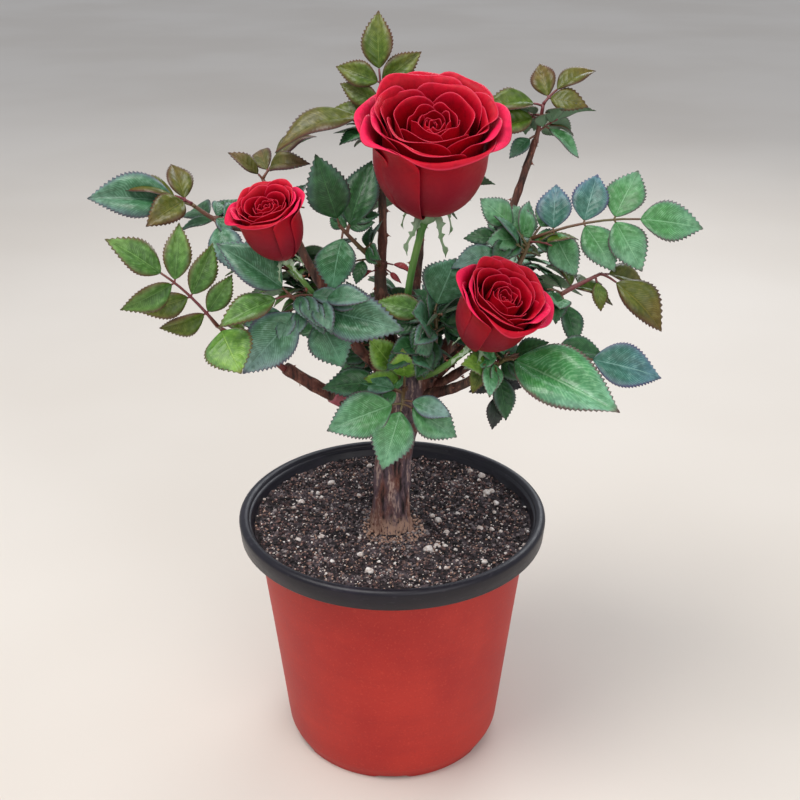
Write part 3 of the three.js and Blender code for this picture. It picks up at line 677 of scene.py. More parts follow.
def shoot_finish(name, base, warm, share):
    """A smooth shoot with patches and streaks of a warmer colour over a share of it."""
    finish = Finish(name, Roughness=0.45)
    streak, patch = finish.noise(170, 3, (1, 1, 0.3)), finish.noise(34)
    warmth = (patch + streak * 0.35).between(0.5 - share, 0.95 - share)
    return finish.done(finish.coats(base, (warmth, warm)), streak, 0.0002, 0.5)


def pot_finish():
    """Thin matt red plastic with a fine mottle and faint turning marks."""
    finish = Finish("pot_red_plastic", Roughness=0.5, Specular_IOR_Level=0.4)
    fine, cloud = finish.noise(900, 3), finish.noise(26, 4)
    rings = finish.noise(70, 3, (0.2, 0.2, 2.2))
    body = finish.coats(
        "#a81c15",
        (cloud.between(0.32, 0.68), "#b82a1e"),
        (rings.between(0.42, 0.68) * 0.16, "#9a1c18"),
        (fine.between(0.56, 0.72) * 0.32, "#d0503e"),
        ((1 - fine.between(0.3, 0.42)) * 0.3, "#8e1815"),
    )
    return finish.done(body, fine * 0.5 + rings * 0.5, 0.0003, 0.35, fine * 0.2 + cloud * 0.12 + 0.38)


def rim_finish():
    """Satin black plastic with fine scuffs and a little dust."""
    finish = Finish("rim_black_plastic", Roughness=0.38, Specular_IOR_Level=0.4)
    scuff, dust = finish.noise(260, 4, (1, 1, 3)), finish.noise(46, 3)
    body = finish.coats(
        "#0f0a16",
        (dust.between(0.5, 0.75) * 0.5, "#211828"),
        (scuff.between(0.6, 0.75) * 0.25, "#4a454d"),
    )
    return finish.done(body, scuff, 0.00015, 0.3, scuff * 0.25 + dust * 0.15 + 0.2)


def soil_finish(name, dark, brown, grey):
    finish = Finish(name, Roughness=0.92)
    crumb, patch = finish.noise(520, 4), finish.noise(90, 3)
    body = finish.coats(
        dark,
        (crumb.between(0.38, 0.62), brown),
        ((patch + crumb * 0.5).between(0.72, 0.95), grey),
    )
    return finish.done(body, crumb + patch, 0.0012, 0.9)


def perlite_finish(name, pale, warm):
    finish = Finish(name, Roughness=0.85)
    grain = finish.noise(620, 3)
    return finish.done(finish.coats(warm, (grain.between(0.35, 0.7), pale)), grain, 0.0005, 0.7)


def floor_finish():
    finish = Finish("pale_floor", Roughness=0.75)
    body = finish.coats("#d3cabf", (finish.noise(1.6, 3).between(0.35, 0.65), "#dad2c8"))
    return finish.done(body, finish.noise(240, 3), 0.0004, 0.15)


# The pot

def pot_wall():
    """The red wall with its foot ring, which has notches, and its floor."""
    wall = spun([
        (0, 3), (50, 3), (51, 2.6), (51.6, 0.5), (52, 0), (54.6, 0), (55, 0.5), (55.6, 2.4),
        (56.8, 4.6), (57.6, 6.6), (HEEL_RADIUS, 8), (58.9, 16), (61.2, 38), (64.8, 72), (68.6, 106),
        (NECK_RADIUS - 0.1, 121.2), (NECK_RADIUS, 122.2), (NECK_RADIUS - WALL, 122.2), (67.2, 106),
        (63.4, 72), (59.8, 38), (HEEL_RADIUS - WALL, 8.4), (54, 4.4), (0, 4.4),
    ], 144)
    for vert in wall.verts:
        if vert.co.z < 2.5 and vert.co.xy.length > 50:
            share = (math.atan2(vert.co.y, vert.co.x) / (2 * math.pi) + 0.75) * FOOT_NOTCHES % 1
            off = min(share, 1 - share) * 2 * math.pi * FOOT_RADIUS / FOOT_NOTCHES
            vert.co.z = max(vert.co.z, NOTCH_HEIGHT * (1 - smooth(*NOTCH_SIDE, off)))
    return mesh_of(wall, "pot_wall_red", MM)


def drill(piece, radius, circle, count):
    """Opens round holes through a floor with one cutter of short posts."""
    posts = bmesh.new()
    for i in range(count):
        angle = 2 * math.pi * i / count
        made = bmesh.ops.create_cone(
            posts, cap_ends=True, segments=20, radius1=radius * MM, radius2=radius * MM, depth=12 * MM
        )
        shift = Vector((math.cos(angle) * circle, math.sin(angle) * circle, 3)) * MM
        bmesh.ops.translate(posts, verts=made["verts"], vec=shift)
    cutter = placed("cutter", mesh_of(posts, "cutter"))
    cut = piece.modifiers.new("holes", "BOOLEAN")
    cut.object = cutter
    cut.operation = "DIFFERENCE"
    cut.solver = "EXACT"
    graph = bpy.context.evaluated_depsgraph_get()
    mesh = bpy.data.meshes.new_from_object(piece.evaluated_get(graph))
    piece.modifiers.clear()
    piece.data = mesh
    mesh.polygons.foreach_set("use_smooth", [True] * len(mesh.polygons))
    bpy.data.objects.remove(cutter)


def crease(piece, degrees=38):
    """Keeps edges sharper than an angle as crisp corners."""
    bm = bmesh.new()
    bm.from_mesh(piece.data)
    for edge in bm.edges:
        edge.smooth = not (edge.is_manifold and edge.calc_face_angle(0) > radians(degrees))
    bm.to_mesh(piece.data)
    bm.free()


def pot_rim():
    """The black rim: a shoulder, a flare, a rolled lip and the hollow band outside."""
    lip = [
        (RIM_RADIUS - 0.3 - 2.6 * (1 - math.cos(a)), POT_HEIGHT - 2.3 + 2.3 * math.sin(a))
        for a in (radians(d) for d in range(0, 181, 20))
    ]
    rim = spun([
        (NECK_RADIUS - WALL, BAND_LOW), (NECK_RADIUS + 0.7, BAND_LOW), (NECK_RADIUS + 1.4, BAND_LOW + 0.8),
        (73.8, BAND_LOW + 3), (75.5, POT_HEIGHT - 3.4), (77.4, POT_HEIGHT - 3.6), (77.6, BAND_LOW + 0.5),
        (78, BAND_LOW), (78.6, BAND_LOW), (79, BAND_LOW + 0.5), *lip,
        (74.2, POT_HEIGHT - 2.2), (73.4, POT_HEIGHT - 4), (72.6, BAND_LOW + 4), (71.6, BAND_LOW + 2.6),
        (NECK_RADIUS - WALL + 0.2, BAND_LOW + 1.2),
    ], 160, closed=True)
    return mesh_of(rim, "pot_rim_black", MM)


def make_pot():
    wall = settle("pot_wall_red", pot_wall(), [pot_finish()], ["pot_wall"])
    drill(wall, DRAIN_RADIUS, DRAIN_CIRCLE, DRAIN_HOLES)
    crease(wall)
    settle("pot_rim_black", pot_rim(), [rim_finish()], ["pot_rim"])


# The soil

def soil_height(x, y):
    """The soil's surface: banked a little at the rim, heaped at the trunk, with crumbs all over."""
    heap = 1.4 * math.exp(-(math.dist((x, y), TRUNK_FOOT) / 17) ** 2)
    broad = 0.9 * noise.noise((x / 21, y / 21, 3.1))
    crumbs = 1.5 * noise.turbulence((x / 4.2, y / 4.2, 7.7), 4, False) - 0.7
    bank = 0.9 * smooth(56, 71, math.hypot(x, y))
    return SOIL_LEVEL + 0.7 + heap + broad + crumbs + bank


def soil_bed():
    rings = [(BED_RADIUS * (i / BED_RINGS) ** 0.9, SOIL_LEVEL) for i in range(BED_RINGS + 1)]
    bed = spun([*rings, (69.2, BAND_LOW), (56.2, 9), (53.6, 4.8), (0, 4.8)], 200)
    for vert in bed.verts:
        if vert.co.z > SOIL_LEVEL - 0.01:
            vert.co.z = soil_height(vert.co.x, vert.co.y)
    return mesh_of(bed, "soil_bed", MM)


def lump_masters(seed, detail, rough):
    """A few pebble-like lumps of radius 1 with uneven faces."""
    masters = []
    for k in range(5):
        bm = bmesh.new()
        bmesh.ops.create_icosphere(bm, subdivisions=detail, radius=1)
        for vert in bm.verts:
            vert.co *= 1 + rough * noise.noise(vert.co * 1.3 + Vector((seed, k * 3.7, 0)))
        masters.append(Master(bm))
    return masters


def scatter(masters, count, seed, sizes, sink, kinds=1, middle=(0, 0), reach=SOIL_REACH):
    """Lumps strewn over the soil, clear of the trunk. sizes has the least size, spread and power."""
    least, spread, power = sizes
    cluster = Cluster()
    roll = dice(seed)
    while count:
        x, y = middle[0] + reach * roll(), middle[1] + reach * roll()
        if math.dist((x, y), middle) > reach or math.hypot(x, y) > SOIL_REACH:
            continue
        if math.dist((x, y), TRUNK_FOOT) < TRUNK_KEEP:
            continue
        size = least + spread * abs(roll()) ** power
        turn = math.pi * roll()
        master = masters[count % len(masters)]
        stretch = np.array([1 + 0.35 * roll(), 1 + 0.35 * roll(), 0.78 + 0.2 * roll()])
        cos, sin = math.cos(turn), math.sin(turn)
        points = (master.points * stretch * size) @ np.array([[cos, sin, 0], [-sin, cos, 0], [0, 0, 1]])
        foot = np.array([x, y, soil_height(x, y) + size * sink])
        cluster.add(master, points + foot, [int((roll() + 1) / 2 * kinds)])
        count -= 1
    return cluster


def make_soil():
    """The bed, and on it dark crumbs, perlite, pale grains and a collar of chips at the trunk."""
    bed = soil_finish("moist_soil", "#161012", "#33272a", "#54484c")
    crumbs = [soil_finish(*tone) for tone in CRUMB_TONES]
    pale = [perlite_finish(*tone) for tone in PALE_TONES]
    collar = [pale[1], pale[1], crumbs[3]]
    grains, lumps = lump_masters(2, 1, 0.5), lump_masters(9, 2, 0.4)
    settle("soil_bed", soil_bed(), [bed], ["soil"])
    loose = scatter(grains, 7600, 31, (0.4, 0.8, 3), sink=0.3, kinds=4)
    loose.piece("soil_crumbs", crumbs, slot="soil", smoothed=False)
    bits = scatter(lumps, 240, 47, (0.3, 0.7, 4), sink=0.5)
    for k, (x, y, size) in enumerate(LUMPS):
        shape = lumps[k % len(lumps)]
        bits.add(shape, shape.points * size * (1.1, 0.95, 0.8) + (x, y, soil_height(x, y) + 0.3 * size))
    bits.piece("perlite_bits", pale, slot="soil")
    chips = scatter(grains, 3600, 53, (0.24, 0.45, 2), sink=0.5, kinds=3)
    chips.piece("pale_grains", pale, slot="soil", smoothed=False)
    ring = scatter(grains, 620, 59, (0.3, 0.6, 2), sink=0.5, kinds=3, middle=(1, -10), reach=16)
    ring.piece("collar_crumbs", collar, slot="soil", smoothed=False)


# Trunk and canes

def trunk_radius(t, angle):
    flare = 3 * np.exp(-t / 0.09) * (1 + 0.3 * np.cos(3 * angle + 0.8))
    head = 3.4 * np.exp(-(((t - 0.9) / 0.16) ** 2)) * (1 + 0.25 * np.cos(2 * angle + 1))
    return 9.3 + flare + head + 0.35 * np.cos(5 * angle + 4 * t) - 0.6 * t


def bark_relief(t, angle, length, radius, depth):
    """Long furrows and scales on a limb, as a height at each point."""
    heights = []
    for u, a, r in zip(t, angle, radius):
        x, y = math.cos(a) * r, math.sin(a) * r
        furrow = abs(noise.noise((x * 0.42, y * 0.42, u * length * 0.045 + 5)))
        scale = noise.noise((x * 0.8, y * 0.8, u * length * 0.16))
        heights.append(depth * (1.5 * furrow + 0.45 * scale - 0.5))
    return np.array(heights)


def trunk_bark():
    def radius(z, angle):
        plain = trunk_radius(z, angle)
        return plain + bark_relief(z, angle, TRUNK_LENGTH, plain, 1.3)

    master, cluster = tube_master(72, 96), Cluster()
    cluster.add(master, wrapped(master, Bend(*TRUNK), radius))
    finish = bark_finish("trunk_bark", "#170b0b", "#704236", "#c6a698", "#5e4c54", 330, 0.0016, 0.138)
    cluster.piece("trunk_bark", [finish], ["trunk"], "bark")


def cane_barks():
    """The canes with their knots, and the pink scar of a cut on one of them."""
    master, stub, cluster = tube_master(20, 44), tube_master(20, 6), Cluster()
    for k, (name, start, bend, tip, foot, end) in enumerate(BOUGHS):
        curve = Bend(start, bend, tip)
        length = np.linalg.norm(np.subtract(tip, start))

        def radius(z, angle):
            plain = 0.86 * taper(foot, end, z)
            knots = sum(np.exp(-(((z - place) * length / 2.2) ** 2)) for place in KNOTS)
            return plain * (1 + 0.13 * knots) + bark_relief(z, angle + k, length, plain, 0.28)

        cluster.add(master, wrapped(master, curve, radius))
        if name == "cane_left_low":
            cut = Bend(curve.at(0.42), curve.at(0.49), curve.at(0.56))
            cluster.add(stub, wrapped(stub, cut, lambda z, angle: 3.75 + 0.3 * np.cos(2 * angle)), [1])
    finish = bark_finish("cane_bark", "#2c1410", "#5c3026", "#86594a", "#4e3a30", 420, 0.0005)
    scar = shoot_finish("cut_scar", "#cf7c86", "#a24c58", 0.1)
    cluster.piece("canes_bark", [finish, scar], [bough[0] for bough in BOUGHS], "cane")


def prickle_master():
    """A hooked prickle of height 1 on a long flat foot."""
    bm = bmesh.new()
    bmesh.ops.create_cone(bm, cap_ends=True, segments=6, radius1=0.34, radius2=0.03, depth=1)
    bmesh.ops.translate(bm, verts=bm.verts, vec=(0, 0, 0.45))
    middle = bmesh.ops.bisect_plane(
        bm, geom=bm.verts[:] + bm.edges[:] + bm.faces[:], plane_co=(0, 0, 0.4), plane_no=(0, 0, 1)
    )
    for vert in {v for v in middle["geom_cut"] if isinstance(v, bmesh.types.BMVert)}:
        vert.co.x = vert.co.x * 0.62
        vert.co.y = vert.co.y * 0.5
    for vert in bm.verts:
        vert.co.y += -0.42 * max(0, vert.co.z) ** 2
        vert.co.y *= 1 + 0.9 * (1 - min(1, max(0, vert.co.z)))
    bmesh.ops.recalc_face_normals(bm, faces=bm.faces)
    return Master(bm)


def prickles():
    """Prickles in a spiral up each limb: seven on a cane and five on a flower stalk."""
    master, cluster = prickle_master(), Cluster()
    roll = dice(77)
    for limb, count in [(bough, 7) for bough in BOUGHS] + [(stalk, 5) for stalk in STALKS]:
        _, *points, foot, end = limb
        curve = Bend(*points)
        for i in range(count):
            place = 0.18 + 0.78 * (i + 0.5 + 0.4 * roll()) / count
            angle = radians(GOLDEN_ANGLE) * i + roll()
            x, y, z = master.points.T * (1.5 + 0.7 * roll())
            surface = curve.wrap(place, angle, taper(foot, end, place) * 0.96)
            way, out = curve.way(place), unit(surface - curve.at(place))
            points = surface + np.outer(x, np.cross(way, out)) + np.outer(y, way) + np.outer(z, out)
            cluster.add(master, points)
    cluster.piece("prickles", [shoot_finish("prickle", "#6d3a2c", "#9a5a44", 0.1)], slot="cane")


def flower_stalks():
    """The green stalks, a little ribbed and swollen under the bloom."""
    master, cluster = tube_master(16, 24), Cluster()
    for _, *points, foot, end in STALKS:
        def radius(z, angle):
            return 0.8 * taper(foot, end, z) + 0.1 * np.cos(5 * angle) + 0.8 * smooth(0.9, 1, z)

        cluster.add(master, wrapped(master, Bend(*points), radius))
    finish = shoot_finish("stalk_green", "#487a34", "#76924c", 0.0)
    cluster.piece("flower_stalks", [finish], [stalk[0] for stalk in STALKS], "stalk")


# Leaves

def blade_half(s):
    """Half the blade's width at a share of its length, in shares of the full width."""
    s = np.clip(s, 0, 1)
    return 0.5 * np.sin(np.pi * s ** 0.86) ** 0.92 * (1 - 0.4 * s ** 5)


def blade_master(columns, rows, tooth_size):
    """A leaflet of length 1 along +Y: toothed, folded, swollen between its veins, with an underside."""
    bm = bmesh.new()
    bmesh.ops.create_grid(bm, x_segments=columns, y_segments=rows, size=1)
    across, along, under = (bm.verts.layers.float.new(name) for name in ("across", "along", "under"))
    for vert in bm.verts:
        x = math.copysign(abs(vert.co.x) ** 0.8, vert.co.x)
        s = (vert.co.y + 1) / 2
        row = round(s * rows)
        vert[across], vert[along], vert[under] = x, s, 0
        half = BLADE_WIDTH * float(blade_half(s))
        edge = abs(x)
        if edge > 0.99 and 0 < row < rows:
            tooth = tooth_size * (1 if row % 2 else -0.35) * min(1, 9 * s, 7 * (1 - s))
            half += tooth
            s += tooth
        rib = abs(math.sin(math.pi * (s * VEINS - edge * VEIN_SLANT)))
        swell = 0.0035 * rib * (1 - edge ** 3) * min(1, 6 * half)
        arch = 0.2 * half * math.sin(math.pi * min(1, edge))
        vert.co = (x * half, s, BLADE_FOLD * half * edge + arch + swell)
    bmesh.ops.remove_doubles(bm, verts=bm.verts, dist=1e-4)
    upper = bm.faces[:]
    if upper[0].normal.z < 0:
        bmesh.ops.reverse_faces(bm, faces=upper)
    copied = bmesh.ops.duplicate(bm, geom=bm.verts[:] + bm.edges[:] + bm.faces[:])["geom"]
    lower = [f for f in copied if isinstance(f, bmesh.types.BMFace)]
    for vert in (v for v in copied if isinstance(v, bmesh.types.BMVert)):
        vert[under] = 1
    for face in lower:
        face.material_index = 1
    bmesh.ops.reverse_faces(bm, faces=lower)
    bmesh.ops.bridge_loops(bm, edges=[e for e in bm.edges if e.is_boundary])
    return Master(bm, ["across", "along", "under"])


# Where a leaflet stands: its foot, the way it runs, its face, its left side and its length
Leaflet = namedtuple("Leaflet", "foot way normal side length")


def leaf_curve(foot, turn, rise, reach, lean):
    """The curve of a leaf's stalk, and the way its leaflets face."""
    along = heading(turn, rise)
    facing = UP + unit(np.array([foot[0], foot[1], 0])) * 0.45 + np.array([0, -lean, 0])
    tip = foot + along * reach - UP * 0.1 * reach
    bend = foot + along * reach * 0.5 + UP * 0.06 * reach
    return Bend(foot, bend, tip), facing


def frame_at(curve, facing, place):
    way = curve.way(place)
    normal = unit(facing - way * np.dot(facing, way))
    return Leaflet(curve.at(place), way, normal, np.cross(normal, way), 0)


def leaflet_at(base, degrees, length, roll):
    """A leaflet swung off the stalk by some degrees, banked a little and grown to a length."""
    swing = radians(degrees + 6 * roll())
    bank = radians(14 * roll())
    way = base.way * math.cos(swing) + base.side * math.sin(swing)
    side = np.cross(base.normal, way)
    normal = base.normal * math.cos(bank) + side * math.sin(bank)
    return Leaflet(base.foot, way, normal, np.cross(normal, way), length * (1 + 0.07 * roll()))


LIMBS = [(Bend(*TRUNK), lambda t: trunk_radius(t, 0))] + [
    (Bend(*points), lambda t, foot=foot, end=end: taper(foot, end, t))
    for _, *points, foot, end in BOUGHS + STALKS
]


def clear_of_limbs(leaflet):
    """Whether a leaflet's middle line and margins keep off every limb, past its own foot."""
    shares = np.linspace(0.3, 1, 6)
    line = leaflet.foot + np.outer(shares * leaflet.length, leaflet.way)
    half = BLADE_WIDTH * leaflet.length * blade_half(shares)
    points = np.concatenate([line + half[:, None] * leaflet.side * side for side in (-0.8, 0, 0.8)])
    t = np.linspace(0, 1, 24)
    for curve, radius in LIMBS:
        gap = np.linalg.norm(points[:, None] - curve.at(t)[None], axis=2) - radius(t)[None]
        if gap.min() < LIMB_GAP:
            return False
    return True


def within(leaflet, low, high):
    """Whether a leaflet stays in the space of its mass."""
    shares = np.array([0.4, 0.7, 1])
    line = leaflet.foot + np.outer(shares * leaflet.length, leaflet.way)
    half = (BLADE_WIDTH * leaflet.length * blade_half(shares))[:, None] * leaflet.side
    points = np.concatenate([line, line + half, line - half])
    return bool((points > low - SPACE_SLACK).all() and (points < high + SPACE_SLACK).all())


class Crown:
    """Collects the leaflets and the twigs of one side of the crown, and the nodes they stand for."""

    def __init__(self):
        self.blades, self.nodes = [], []
        self.twigs = Cluster()

    def blade(self, leaflet, tint, roll):
        width, fold, curl = HABITS.get(tint, PLAIN_HABIT)
        curl += 0.09 * (roll() + 1) / 2
        twist, fold, width = 0.25 * roll(), fold * (1 + 0.3 * roll()), width * (1 + 0.06 * roll())
        self.blades.append((leaflet, tint, curl, twist, fold, width))

    def twig(self, curve, foot, tip, red, master):
        """A twig that swells at its foot, with the green or the red shoots' finish."""
        def radius(z, angle):
            return taper(foot, tip, z) * (1 + 0.35 * np.exp(-z / 0.06))

        self.twigs.add(master, wrapped(master, curve, radius), [int(red)])

    def stalked(self, leaflet, tint, red, roll):
        """A side leaflet on its own short stalk."""
        start, gap = leaflet.foot, 0.06 * leaflet.length
        end = start + leaflet.way * gap
        self.twig(Bend(start, (start + end) / 2 + leaflet.normal * 0.15, end), 0.5, 0.45, red, slim_tube)
        raised = leaflet._replace(foot=end - leaflet.way * 0.3, length=leaflet.length - gap)
        self.blade(raised, tint, roll)


def grow_leaf(crown, curve, facing, stalk, count, size, tints, roll, wild):
    """A placed leaf: its end leaflet, its stalk and its pairs of leaflets, some in a second tint."""
    tint, *other = tints.split("/")
    red = TINTS[tint][-1]
    crown.blade(leaflet_at(frame_at(curve, facing, 1), 0, size, roll), tint, wild)
    crown.twig(curve, stalk, 0.5, red, slim_tube)
    for k, place in enumerate(PAIR_PLACES[count]):
        base = frame_at(curve, facing, place)
        for side in (1, -1):
            pair = leaflet_at(base, side * LEAFLET_ANGLES[k], size * LEAFLET_SIZES[k], roll)
            if clear_of_limbs(pair):
                crown.stalked(pair, other[0] if other and k and side > 0 else tint, red, wild)


def grow_finer_twig(crown, i, seed, foot, main_tint, space, wild):
    """A finer twig and its leaflets, skipped where they would leave the space or touch a limb."""
    turn, rise = GOLDEN_ANGLE * i + 10 * seed + 30 * wild(), 22 + 34 * wild()
    if i % 4 and np.dot(heading(turn, 0), foot * (1, 1, 0)) > 0:
        turn += 180
    reach, size = 11 + 4 * wild(), 19 + 4 * wild()
    curve, facing = leaf_curve(foot, turn, rise, reach, 0.7 if foot[1] < 20 else -0.3)
    tint = ("deep", "moss", "teal")[i % 3]
    # In the heart of the crown a finer twig mostly takes the dark deep tint: partly painted shade of the
    # crown's inside
    if np.hypot(*foot[:2]) < HEART_RADIUS and wild() > -0.3:
        tint = "deep"
    elif wild() > -0.2:
        tint = main_tint
    small = [
        leaflet_at(frame_at(curve, facing, place), angle, size * share, wild)
        for place, angle, share in FINE_LEAFLETS
    ]
    kept = [leaflet for leaflet in small if within(leaflet, *space) and clear_of_limbs(leaflet)]
    if kept and within(Leaflet(foot, heading(turn, rise), UP, UP, reach), *space):
        red = TINTS[tint][-1]
        crown.twig(curve, 0.55, 0.4, red, slim_tube)
        for leaflet in kept:
            crown.stalked(leaflet, tint, red, wild)


def grow_mass(crown, name, seed, fine, stem, leaves):
    """Grows one mass from its stem by the source's rule, then its finer twigs within the same reach."""
    roll, wild = dice(seed), dice(seed + 1000)
    stem = Bend(*stem)
    main_tint = leaves[0][-1].split("/")[0]
    root = stem.at(0) - stem.way(0) * 1.6
    crown.nodes.append(name)
    crown.twig(Bend(root, (root + stem.at(0)) / 2, stem.at(0)), 1.7, 1.3, False, stout_tube)
    crown.twig(stem, 1.35, 0.85, TINTS[main_tint][-1], stout_tube)
    for place, turn, rise, reach, count, size, lean, tints in leaves:
        curve, facing = leaf_curve(stem.at(place), turn, rise, reach, lean)
        stalk = 0.75 if reach > SHORT_STALK else 0.6
        grow_leaf(crown, curve, facing, stalk, count, size, tints, roll, wild)
    low, high = (np.array(corner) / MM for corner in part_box(name))
    for i in range(fine):
        foot = stem.at(0.05 + 0.9 * (i + 0.5) / fine)
        grow_finer_twig(crown, i, seed, foot, main_tint, (low, high), wild)


def blade_points(master, leaflet, curl, twist, fold, width):
    """A master leaflet's points, bent along its length, turned on itself, folded and put in its place."""
    x, s, z = master.points.T
    x = x * width
    length = leaflet.length
    wave = 0.016 * np.sin(9 * s + 20 * twist) * np.abs(master.across) ** 3
    z = z * fold + wave - BLADE_CURL * s * s - curl * np.clip(s - 0.35, 0, 1) ** 2
    angle = twist * s * s
    side = x * np.cos(angle) - z * np.sin(angle) * 0.3
    lift = z + x * np.sin(angle)
    points = leaflet.foot + (s * length)[:, None] * leaflet.way + (side * length)[:, None] * leaflet.side
    return points + (lift * length - master.under * LEAF_SKIN)[:, None] * leaflet.normal


def blades_piece(name, crown):
    """Joins the leaflets of one side of the crown, each with a cell of its own on the bake map."""
    cluster = Cluster()
    grid = math.ceil(math.sqrt(len(crown.blades)))
    for i, (leaflet, tint, *habit) in enumerate(crown.blades):
        master = blade_masters[sum(leaflet.length > length for length in FINER_ABOVE)]
        across = (master.across + 1) / 2
        cell = np.stack([
            (i % grid + 0.07 + 0.4 * across + 0.47 * master.under) / grid,
            (i // grid + 0.04 + 0.92 * master.along) / grid,
        ], axis=1)
        maps = {"blade": np.stack([across, master.along], axis=1), "OFBake": cell}
        slots = [TINT_NAMES.index(tint), len(TINT_NAMES)]
        cluster.add(master, blade_points(master, leaflet, *habit), slots, maps)
    cluster.piece(name, leaf_finishes, crown.nodes, "foliage")


def whorl(count, turn, rise, reach, leaflets, size, tint):
    """The placed leaves of a mass at the back, turned on by the golden angle up its stem."""
    shares = [(i + 0.5) / count for i in range(count)]
    return [(
        share, turn + GOLDEN_ANGLE * i, rise + 40 * share, reach * (1.15 - 0.4 * share), leaflets,
        size * (1.08 - 0.2 * share), -math.sin(radians(turn)) * 0.5, tint,
    ) for i, share in enumerate(shares)]


def red_shoots(crown):
    leader, roll = Bend(*BOUGHS[0][1:4]), dice(7)
    for place, turn, rise, reach, size in RED_SHOOTS:
        curve, facing = leaf_curve(leader.at(place), turn, rise, reach, 1)
        crown.twig(curve, 0.5, 0.4, True, slim_tube)
        crown.blade(leaflet_at(frame_at(curve, facing, 1), 0, size, roll), "ember", roll)


def make_foliage():
    crowns = {side: Crown() for side in ("left", "right", "back")}
    for name, seed, fine, stem, leaves in MASSES:
        side = "left" if stem[0][0] < 0 or name == "leaves_heart_left" else "right"
        grow_mass(crowns[side], name, seed, fine, stem, leaves)
    for name, seed, fine, stem, sizes, tint in BACK_MASSES:
        grow_mass(crowns["back"], name, seed, fine, stem, whorl(*sizes, tint))
    red_shoots(crowns["left"])
    shoots = [
        shoot_finish("green_shoot", "#55562c", "#6a4232", 0.12),
        shoot_finish("red_shoot", "#74343a", "#6a4a2c", -0.05),
    ]
    for side, crown in crowns.items():
        blades_piece("leaves_" + side + "_blades", crown)
        crown.twigs.piece("leaves_" + side + "_twigs", shoots, slot="stalk")


# Blooms

def spline(t, places, values):
    """A smooth curve through a few values."""
    slopes = np.gradient(values, places)
    k = np.clip(np.searchsorted(places, t, side="right") - 1, 0, len(places) - 2)
    width = places[k + 1] - places[k]
    s = (t - places[k]) / width
    a, b = values[k], values[k + 1]
    p, q = slopes[k] * width, slopes[k + 1] * width
    return (
        (2 * s ** 3 - 3 * s ** 2 + 1) * a + (s ** 3 - 2 * s ** 2 + s) * p
        + (3 * s ** 2 - 2 * s ** 3) * b + (s ** 3 - s ** 2) * q
    )


def petal_profile(t, belly, lip, end, rise, roll_down):
    """How far out and how high a petal runs at a share of its length, in shares of radius and height."""
    places = np.array([0, 0.1, 0.25, 0.5, 0.74, 0.9, 1.03])
    outs = np.array([0.07, 0.39 * belly, 0.72 * belly, belly, 0.75 * belly + 0.25 * lip, lip, end])
    ups = np.array([0, 0.07, 0.22, 0.5, 0.82, 0.985, 1 - roll_down]) * rise
    return spline(t, places, outs), spline(t, places, ups)


def petal_points(master, radius, height, hand, centre, half_angle, shape, outer, point, roll):
    """One petal's points round the bloom's axis."""
    belly, lip, end, high, drop = shape
    s, v = hand * master.points[:, 0], (master.points[:, 1] + 1) / 2
    wave, skew, grow = roll(), roll(), 1 + 0.03 * roll()
    peak = (0.02 + 0.05 * point) * np.exp(-((s / 0.2) ** 2))
    t = np.clip(v * (1 - (0.15 + 0.03 * outer) * np.abs(s) ** 3) + peak * v ** 6 - 0.03, 0, 1.03)
    out, up = petal_profile(t, belly, lip, end * grow, high * grow, drop)
    top = np.clip((t - 0.45) / 0.55, 0, 1) ** 2
    ripple = 0.024 * np.sin(4.2 * s + 3 * wave) + 0.013 * np.sin(8.5 * s + 5 * skew)
    out = out + 0.026 * s + ripple * top * (0.5 + 0.9 * outer) + 0.012 * np.sin(3.1 * s + 4 * t + 5 * wave)
    up = up + (0.02 * np.cos(5 * s + 4 * skew) - 0.035 * outer * np.abs(s) ** 2.5 * (0.5 + point)) * top
    angle = centre + s * half_angle * (1 - 0.1 * t) * (1 - 0.12 * point * top * np.abs(s))
    return np.stack([hand * radius * out * np.cos(angle), radius * out * np.sin(angle), height * up], axis=1)


def bloom(name, tip, radius, height, turn, rise, seed, hand, hip):
    """The petals of one bloom. Gives the bloom's tilt and where it stands."""
    roll = dice(seed)
    axis = Vector(heading(turn, rise))
    tilt = np.array(Vector(UP).rotation_difference(axis).to_matrix())
    stand = np.array(tip, float) + np.array(axis) * (SEAT + hip)
    bm = bmesh.new()
    bmesh.ops.create_grid(bm, x_segments=12, y_segments=16, size=1)
    master = Master(bm)
    cluster = Cluster()
    maps = {"petal": (master.points[:, :2] + 1) / 2}
    rows = [
        (first + 360 * i / petals + 9 * roll(), half, shape, k / (len(WHORLS) + 1), 0, 2)
        for k, (petals, *shape, half, first) in enumerate(WHORLS) for i in range(petals)
    ]
    rows += [(centre, half, shape, 1, point, slot) for centre, half, *shape, point, slot in OUTER_PETALS]
    for centre, half, *rest, slot in rows:
        points = petal_points(master, radius, height, hand, radians(centre), radians(half), *rest, roll)
        cluster.add(master, points @ tilt.T + stand, [slot], maps)
    piece = cluster.piece(name + "_petals", petal_finishes, [name], "petals")
    thick = piece.modifiers.new("thickness", "SOLIDIFY")
    thick.thickness = PETAL_THICKNESS * MM * (0.6 + 0.4 * radius / LARGE_RADIUS)
    thick.offset = 0
    thick.material_offset = 1
    round_off = piece.modifiers.new("round", "SUBSURF")
    round_off.levels = round_off.render_levels = 1
    return tilt, stand


